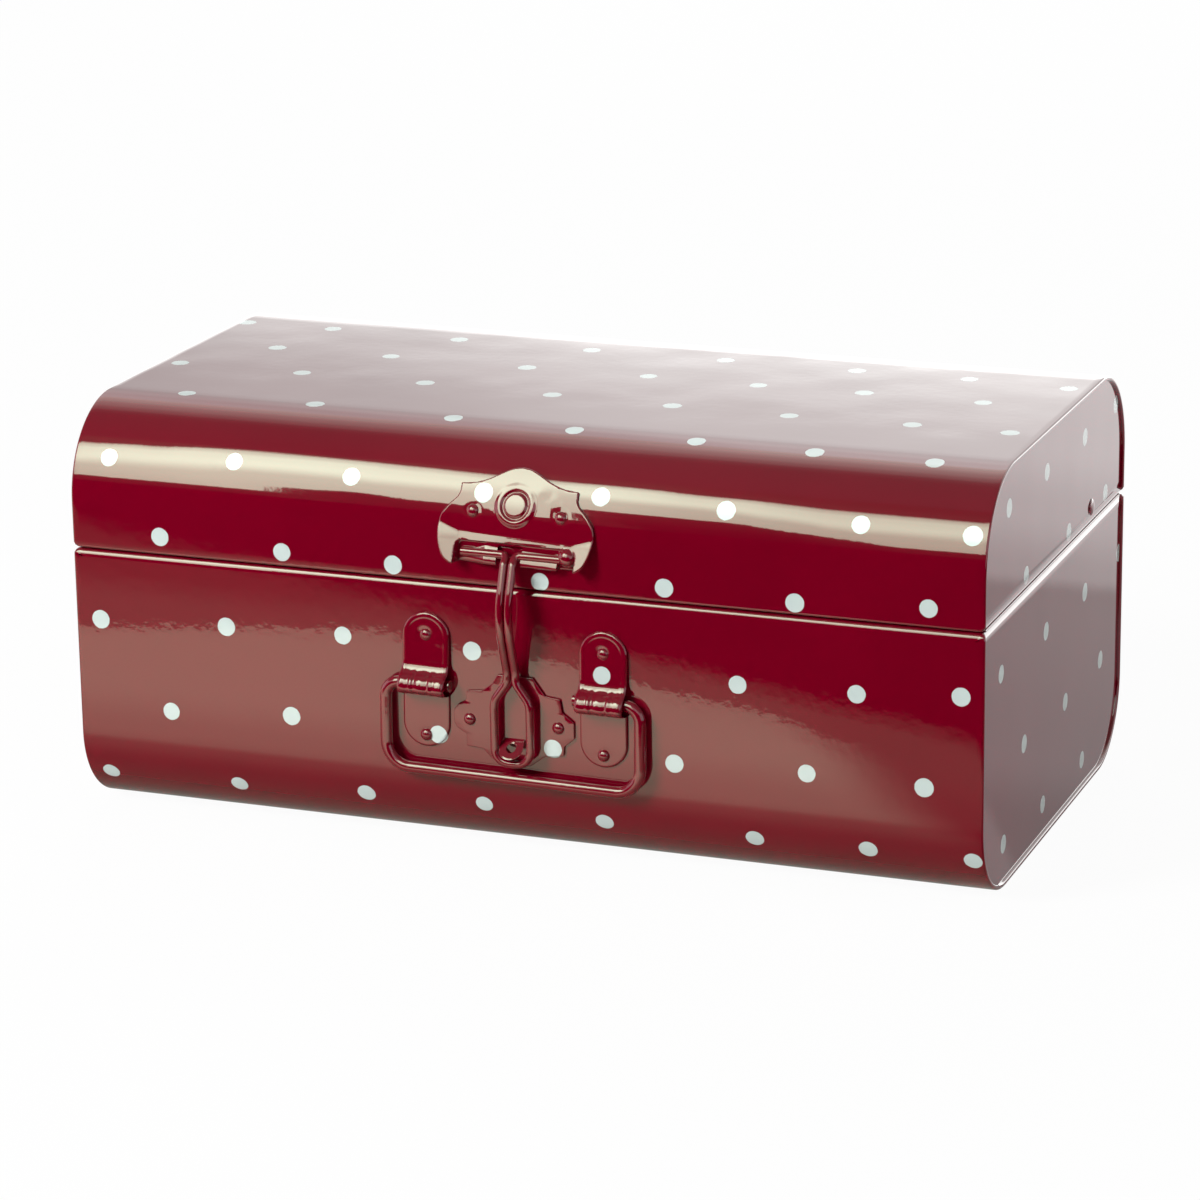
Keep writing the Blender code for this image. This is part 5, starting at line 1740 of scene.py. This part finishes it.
@dataclass
class Studio:
    """A plain white sweep, soft lamps, and the cards that the gloss reflects."""

    eye: Point3 = (0.5879, -1.5599, 0.5747)
    azimuth_deg: float = 20.765
    elevation_deg: float = 16.747
    roll_deg: float = -0.782
    lens_mm: float = 134.154
    fill: float = 0.14
    floor_glow: float = 0.12

    def camera(self) -> None:
        """Place the camera."""
        yaw, pitch, roll = radians(self.azimuth_deg), radians(self.elevation_deg), radians(self.roll_deg)
        back = Vector((sin(yaw) * cos(pitch), -cos(yaw) * cos(pitch), sin(pitch)))
        right = Vector((cos(yaw), sin(yaw), 0.0))
        up = back.cross(right)
        right, up = right * cos(roll) + up * sin(roll), up * cos(roll) - right * sin(roll)
        lens = bpy.data.cameras.new("camera")
        lens.lens, lens.sensor_width = self.lens_mm, 36.0
        lens.clip_start, lens.clip_end = 0.05, 50.0
        camera = bpy.data.objects.new("camera", lens)
        camera.matrix_world = Matrix((right, up, back)).transposed().to_4x4()
        camera.location = self.eye
        bpy.context.scene.collection.objects.link(camera)
        bpy.context.scene.camera = camera

    def world(self) -> None:
        """White where it is seen or mirrored, and a soft fill for the rest."""
        world = bpy.data.worlds.new("studio")
        bpy.context.scene.world = world
        world.use_nodes = True
        tree = world.node_tree
        tree.nodes.clear()
        fill = add_node(tree, "ShaderNodeBackground", Color=(1.0, 0.99, 0.98, 1), Strength=self.fill)
        white = add_node(tree, "ShaderNodeBackground", Color=(1, 1, 1, 1), Strength=1.0)
        mix = add_node(tree, "ShaderNodeMixShader", i0=self.seen(tree), i1=fill.outputs[0], i2=white.outputs[0])
        add_node(tree, "ShaderNodeOutputWorld", Surface=mix.outputs[0])

    def seen(self, tree: bpy.types.NodeTree) -> bpy.types.NodeSocket:
        """1 for camera, glossy and transmission rays."""
        path = add_node(tree, "ShaderNodeLightPath")
        both = add_node(tree, "ShaderNodeMath", {"operation": "MAXIMUM"}, i0=path.outputs["Is Camera Ray"], i1=path.outputs["Is Glossy Ray"])
        return add_node(tree, "ShaderNodeMath", {"operation": "MAXIMUM"}, i0=both.outputs[0], i1=path.outputs["Is Transmission Ray"]).outputs[0]

    def ramp(self, tree: bpy.types.NodeTree, value: bpy.types.NodeSocket, stops: Sequence[Point2]) -> bpy.types.NodeSocket:
        """A smooth level that follows a value through stops.

        Args:
            tree: The node tree.
            value: The value.
            stops: Values and levels, in rising order.

        Returns:
            The level's socket.
        """
        low, high = stops[0][0], stops[-1][0]
        peak = max(level for _, level in stops)
        place = add_node(tree, "ShaderNodeMapRange", i0=value, i1=low, i2=high)
        ramp = add_node(tree, "ShaderNodeValToRGB", i0=place.outputs[0])
        ramp.color_ramp.interpolation = "EASE"
        points = ramp.color_ramp.elements
        while len(points) < len(stops):
            points.new(0.5)
        for point, (at, level) in zip(points, stops):
            point.position = (at - low) / (high - low)
            point.color = (level / peak, level / peak, level / peak, 1.0)
        return self.times(tree, ramp.outputs[0], peak)

    def times(self, tree: bpy.types.NodeTree, one: bpy.types.NodeSocket, other: object) -> bpy.types.NodeSocket:
        """One value times another."""
        return add_node(tree, "ShaderNodeMath", {"operation": "MULTIPLY"}, i0=one, i1=other).outputs[0]

    def along(self, tree: bpy.types.NodeTree, place: bpy.types.NodeSocket, way: Point3) -> bpy.types.NodeSocket:
        """How far a place lies along a direction."""
        return add_node(tree, "ShaderNodeVectorMath", {"operation": "DOT_PRODUCT"}, i0=place, i1=way).outputs["Value"]

    def painted_floor_light_and_shade(self, tree: bpy.types.NodeTree, place: bpy.types.NodeSocket) -> bpy.types.NodeSocket:
        """The floor's brightness in the gloss, all painted: a painted pool of lamp light before the case, its end, and
        the case's shade as a painted shadow.

        Args:
            tree: The node tree.
            place: Object coordinates.

        Returns:
            The level's socket.
        """
        yaw = radians(self.azimuth_deg)
        # A painted pool of lamp light on the floor before the case, its far edge made ragged by noise
        rough = add_node(tree, "ShaderNodeTexNoise", Vector=place, Scale=9.0, Detail=3.0)
        swing = add_node(tree, "ShaderNodeMath", {"operation": "MULTIPLY_ADD"}, i0=rough.outputs["Fac"], i1=0.05, i2=-0.025).outputs[0]
        near = self.along(tree, place, (sin(yaw), -cos(yaw), 0.0))
        near_uneven = add_node(tree, "ShaderNodeMath", {"operation": "ADD"}, i0=near, i1=swing).outputs[0]
        far_left = add_node(tree, "ShaderNodeMapRange", i0=self.along(tree, place, (-1, 0, 0)), i1=0.06, i2=0.36, i3=0.0, i4=0.52)
        bow = self.times(tree, far_left.outputs[0], far_left.outputs[0])
        pool_reach = add_node(tree, "ShaderNodeMath", {"operation": "MULTIPLY_ADD"}, i0=bow, i1=0.5, i2=near_uneven).outputs[0]
        pool = self.ramp(tree, pool_reach, ((0.0, 1.0), (0.262, 1.0), (0.280, 0.86), (0.284, 0.06), (0.5, 0.0)))
        right = self.ramp(tree, self.along(tree, place, (1.0, -0.74, 0.0)), ((0.0, 1.0), (0.245, 1.0), (0.290, 0.0), (0.8, 0.0)))
        painted_pool_light = add_node(tree, "ShaderNodeMath", {"operation": "MULTIPLY_ADD"}, i0=self.times(tree, pool, right), i1=1.12, i2=0.34)
        # Painted darkness on the floor past a line toward the camera, seen only in the gloss
        painted_dark_past_floor_line = self.ramp(tree, near, ((0.0, 1.0), (0.301, 1.0), (0.309, 0.62), (0.316, 0.33), (0.323, 0.0), (0.6, 0.0)))
        # Painted shadow of the case on the floor in front of it, darkest close against its front
        front = self.times(tree, self.times(tree, painted_pool_light.outputs[0], painted_dark_past_floor_line), self.ramp(
            tree, self.along(tree, place, (0, -1, 0)), ((0.0, 0.10), (0.112, 0.12), (0.150, 0.27), (0.195, 0.72), (0.250, 1.0), (0.355, 1.0), (0.405, 0.48), (0.6, 0.4))))
        # Painted shade of the case on the floor behind and right of it, lighter far behind
        rear = self.ramp(tree, self.along(tree, place, (0, 1, 0)), (
            (-0.6, 0.24), (0.0, 0.26), (0.08, 0.34), (0.300, 0.40), (0.328, 0.62), (0.43, 0.83), (0.55, 1.03), (1.0, 1.3)))
        # A painted shadow of the case lies over all but the floor at its front right, which is painted lighter
        rear = self.times(tree, rear, self.ramp(tree, self.along(tree, place, (1.0, -0.45, 0.0)), ((0.0, 1.0), (0.199, 1.0), (0.204, 1.3), (0.6, 1.3))))
        side = self.ramp(tree, self.along(tree, place, (0, 1, 0)), ((-0.3, 0.0), (-0.100, 0.0), (-0.06, 1.0), (0.3, 1.0)))
        both = add_node(tree, "ShaderNodeMix", {"data_type": "FLOAT"}, i0=side, i2=front, i3=rear)
        return both.outputs[0]

    def floor(self) -> None:
        """A white floor that keeps the case's shadow; the gloss sees it instead as painted floor light and painted
        shade.
        """
        material, tree = new_material("white_card_floor_sheet")
        place = add_node(tree, "ShaderNodeTexCoord").outputs["Object"]
        # The faintest mottling of matt card
        mottle = add_node(tree, "ShaderNodeTexNoise", Vector=place, Scale=30.0)
        tint = add_node(tree, "ShaderNodeMapRange", i0=mottle.outputs["Fac"], i3=0.89, i4=0.91)
        matt = add_node(tree, "ShaderNodeBsdfDiffuse", Color=tint.outputs[0])
        bright = add_node(tree, "ShaderNodeEmission", Strength=1.0)
        # The painted floor light is tinted warm in front of the case and near white behind it
        behind = self.ramp(tree, self.along(tree, place, (0, 1, 0)), ((-0.3, 0.0), (-0.100, 0.0), (-0.06, 1.0), (0.3, 1.0)))
        tone = add_node(tree, "ShaderNodeMix", {"data_type": "RGBA"}, i0=behind)
        tone.inputs[6].default_value = (0.96, 1.0, 0.74, 1.0)
        tone.inputs[7].default_value = (1.0, 0.985, 0.98, 1.0)
        # Glossy rays see the floor as an emission of painted light and painted shade, not as its shading
        mirrored = add_node(tree, "ShaderNodeEmission", Color=tone.outputs[2], Strength=self.painted_floor_light_and_shade(tree, place))
        path = add_node(tree, "ShaderNodeLightPath")
        share = add_node(tree, "ShaderNodeMapRange", i0=path.outputs["Is Camera Ray"], i3=self.floor_glow, i4=0.96)
        plain = add_node(tree, "ShaderNodeMixShader", i0=share.outputs[0], i1=matt.outputs[0], i2=bright.outputs[0])
        mix = add_node(tree, "ShaderNodeMixShader", i0=path.outputs["Is Glossy Ray"], i1=plain.outputs[0], i2=mirrored.outputs[0])
        add_node(tree, "ShaderNodeOutputMaterial", Surface=mix.outputs[0])
        self.card("floor", (8.0, 8.0), (0.0, 0.0, -0.0002), (0.0, 0.0, 0.0), material, True)

    def card(self, name: str, size: Point2, place: Point3, turn_deg: Point3, material: bpy.types.Material, shown: bool = False) -> bpy.types.Object:
        """A flat card of the stage.

        Args:
            name: Its name.
            size: Its sides.
            place: Its middle.
            turn_deg: Its turns about x, y and z.
            material: Its finish.
            shown: Whether more than mirrored rays see it.

        Returns:
            The card.
        """
        mesh = bpy.data.meshes.new(name)
        w, h = size[0] / 2, size[1] / 2
        mesh.from_pydata([(-w, -h, 0), (w, -h, 0), (w, h, 0), (-w, h, 0)], [], [(0, 1, 2, 3)])
        mesh.materials.append(material)
        card = bpy.data.objects.new(name, mesh)
        card.location = place
        card.rotation_euler = [radians(a) for a in turn_deg]
        bpy.context.scene.collection.objects.link(card)
        card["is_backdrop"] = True
        if not shown:
            card.visible_camera = card.visible_diffuse = card.visible_shadow = card.visible_transmission = False
        return card

    def glow(
        self, name: str, colour: Sequence[float], across: Sequence[Point2], up: Sequence[Point2], uneven: float = 0.0,
        hems: tuple[Sequence[Point2], Sequence[Point2]] | None = None,
    ) -> bpy.types.Material:
        """A card's glow, as a level along its x times a level along its y.

        Args:
            name: The material's name.
            colour: The light's colour.
            across: Stops along x.
            up: Stops along y.
            uneven: How far the cloth's folds shift the levels along y.
            hems: How far the cloth hangs below and rises above its middle along x; y then runs from 0 to 1 between.

        Returns:
            The material.
        """
        material, tree = new_material(name)
        place = add_node(tree, "ShaderNodeTexCoord").outputs["Object"]
        fold = add_node(tree, "ShaderNodeTexNoise", Vector=self.times_vector(tree, place, (5.0, 1.2, 1.0)), Scale=1.0, Detail=3.0)
        shift = add_node(tree, "ShaderNodeMath", {"operation": "MULTIPLY_ADD"}, i0=fold.outputs["Fac"], i1=2 * uneven, i2=-uneven).outputs[0]
        height = add_node(tree, "ShaderNodeMath", {"operation": "ADD"}, i0=self.along(tree, place, (0, 1, 0)), i1=shift).outputs[0]
        sideways = self.along(tree, place, (1, 0, 0))
        if hems:
            drop, rise = (self.ramp(tree, sideways, hem) for hem in hems)
            risen = add_node(tree, "ShaderNodeMath", {"operation": "ADD"}, i0=height, i1=drop)
            whole = add_node(tree, "ShaderNodeMath", {"operation": "ADD"}, i0=rise, i1=drop)
            height = add_node(tree, "ShaderNodeMath", {"operation": "DIVIDE"}, i0=risen.outputs[0], i1=whole.outputs[0]).outputs[0]
        level = self.times(tree, self.ramp(tree, sideways, across), self.ramp(tree, height, up))
        glow = add_node(tree, "ShaderNodeEmission", Color=(*colour, 1.0), Strength=level)
        add_node(tree, "ShaderNodeOutputMaterial", Surface=glow.outputs[0])
        return material

    def times_vector(self, tree: bpy.types.NodeTree, place: bpy.types.NodeSocket, by: Point3) -> bpy.types.NodeSocket:
        """A place scaled along each axis."""
        return add_node(tree, "ShaderNodeVectorMath", {"operation": "MULTIPLY"}, i0=place, i1=by).outputs[0]

    def cards(self) -> None:
        """The softbox, the flags and the bright backdrop that shape the reflections."""
        even = ((-1.0, 1.0), (1.0, 1.0))
        softbox = self.glow("softbox_cloth", (0.81, 1.0, 0.765), (
            (-0.80, 0.0), (-0.74, 0.7), (-0.60, 0.86), (-0.47, 0.90), (-0.36, 0.97), (-0.31, 1.0), (-0.06, 0.95), (0.04, 0.80), (0.145, 0.70), (0.70, 0.6), (0.78, 0.0)), (
            (-0.5, 0.03), (-0.03, 0.12), (0.0, 0.5), (0.03, 5.8), (0.30, 6.4), (0.60, 10.6), (0.80, 9.9), (0.93, 7.0), (0.97, 3.2), (1.0, 0.35), (1.3, 0.25)), 0.05, (
            ((-0.80, 0.60), (-0.47, 0.59), (-0.36, 0.60), (-0.31, 0.42), (-0.24, 0.37), (-0.205, 0.47), (-0.09, 0.47), (-0.065, 0.25), (0.04, 0.27), (0.09, 0.42), (0.145, 0.59), (0.80, 0.60)),
            ((-0.80, 0.54), (-0.47, 0.54), (-0.36, 0.75), (-0.31, 0.73), (-0.06, 0.58), (0.04, 0.505), (0.145, 0.41), (0.80, 0.42))))
        black = self.glow("black_flag_cloth", (1.0, 0.9, 0.9), even, ((-1.0, 0.003), (1.0, 0.003)))
        ceiling = self.glow("grey_ceiling_cloth", (1.0, 0.96, 0.88), ((-2.0, 0.7), (-1.05, 0.76), (-0.80, 0.95), (-0.35, 1.0), (2.0, 1.0)), (
            (-1.9, 0.24), (0.25, 0.23), (0.48, 0.31), (0.70, 0.68), (1.05, 1.12), (1.60, 1.60), (2.1, 1.9)))
        backdrop = self.glow("white_backdrop_cloth", (0.97, 1.0, 0.985), ((-1.30, 0.67), (-1.05, 0.77), (-0.70, 1.02), (-0.40, 1.08), (2.0, 1.14)), (
            (-1.15, 3.0), (-0.560, 2.9), (-0.510, 2.1), (-0.475, 1.52), (-0.455, 1.32), (-0.42, 1.10), (-0.30, 1.0), (0.40, 1.45), (1.15, 1.9)))
        yaw = self.azimuth_deg
        reach = 0.324 + 2.5
        self.card("softbox", (1.6, 1.56), (-0.45, -1.22, 1.03), (48.0, 0.0, 0.0), softbox)
        self.card("flag_low", (9.0, 5.0), (reach * sin(radians(yaw)), -reach * cos(radians(yaw)), 0.002), (0.0, 0.0, yaw), black)
        self.card("flag_far", (9.0, 1.6), (-0.6, -4.0, 0.8), (90.0, 0.0, 0.0), black)
        self.card("ceiling", (9.0, 3.95), (0.0, 0.075, 2.3), (0.0, 0.0, 0.0), ceiling)
        self.card("backdrop", (9.0, 2.3), (0.0, 2.05, 1.15), (90.0, 0.0, 0.0), backdrop)

    def lamps(self) -> None:
        """Soft lamps from the left front, the right, above and behind."""
        rig = (
            ("lamp_left", (-1.25, -1.55, 1.30), 0.7, 50.0),
            ("lamp_right", (2.2, 0.1, 0.8), 1.2, 14.0),
            ("lamp_top", (0.0, 0.2, 2.6), 1.8, 2.5),
            ("lamp_back", (-0.6, 2.2, 1.4), 1.4, 22.0),
        )
        for name, place, size, power in rig:
            light = bpy.data.lights.new(name, "AREA")
            light.size, light.energy = size, power
            lamp = bpy.data.objects.new(name, light)
            lamp.location = place
            lamp.rotation_euler = Vector(place).to_track_quat("Z", "Y").to_euler()
            lamp.visible_glossy = False
            bpy.context.scene.collection.objects.link(lamp)

    def build(self) -> None:
        """Set up the whole studio."""
        bpy.context.scene.view_settings.view_transform = "Standard"
        self.camera()
        self.world()
        self.floor()
        self.cards()
        self.lamps()


def corners() -> list[list[float]]:
    """The shown object's lowest and highest corners as plain lists."""
    return [list(c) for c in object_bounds()]


def main() -> None:
    """Build the looks piece by piece."""
    logging.basicConfig(level=logging.INFO, format="%(name)s: %(message)s")
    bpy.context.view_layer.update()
    Studio().build()
    finishes = Finishes()
    Wrap(BASE_TROUGH, Body.BASE, DOTS.base(), finishes).build()
    Wrap(LID_TROUGH, Body.LID, DOTS.lid(), finishes).build()
    for side_name, side in SIDES:
        EndPanel(BASE_TROUGH, side_name, side, Body.BASE, finishes).build()
        EndPanel(LID_TROUGH, side_name, side, Body.LID, finishes).build()
        HandleBracket(finishes, side_name=side_name, side=side, lean=BRACKET_LEAN[side_name], shift_x=BRACKET_SHIFT[side_name][0],
                      shift_up=BRACKET_SHIFT[side_name][1]).build()
        Hinge(finishes, side_name, side).build()
        LidStay(finishes, side_name, side).build()
    HaspPlate(finishes).build()
    CatchPlate(finishes).build()
    Hasp(finishes).build()
    DropHandle(finishes).build()
    PlateRivets(finishes).build()


if __name__ == "__main__":
    main()
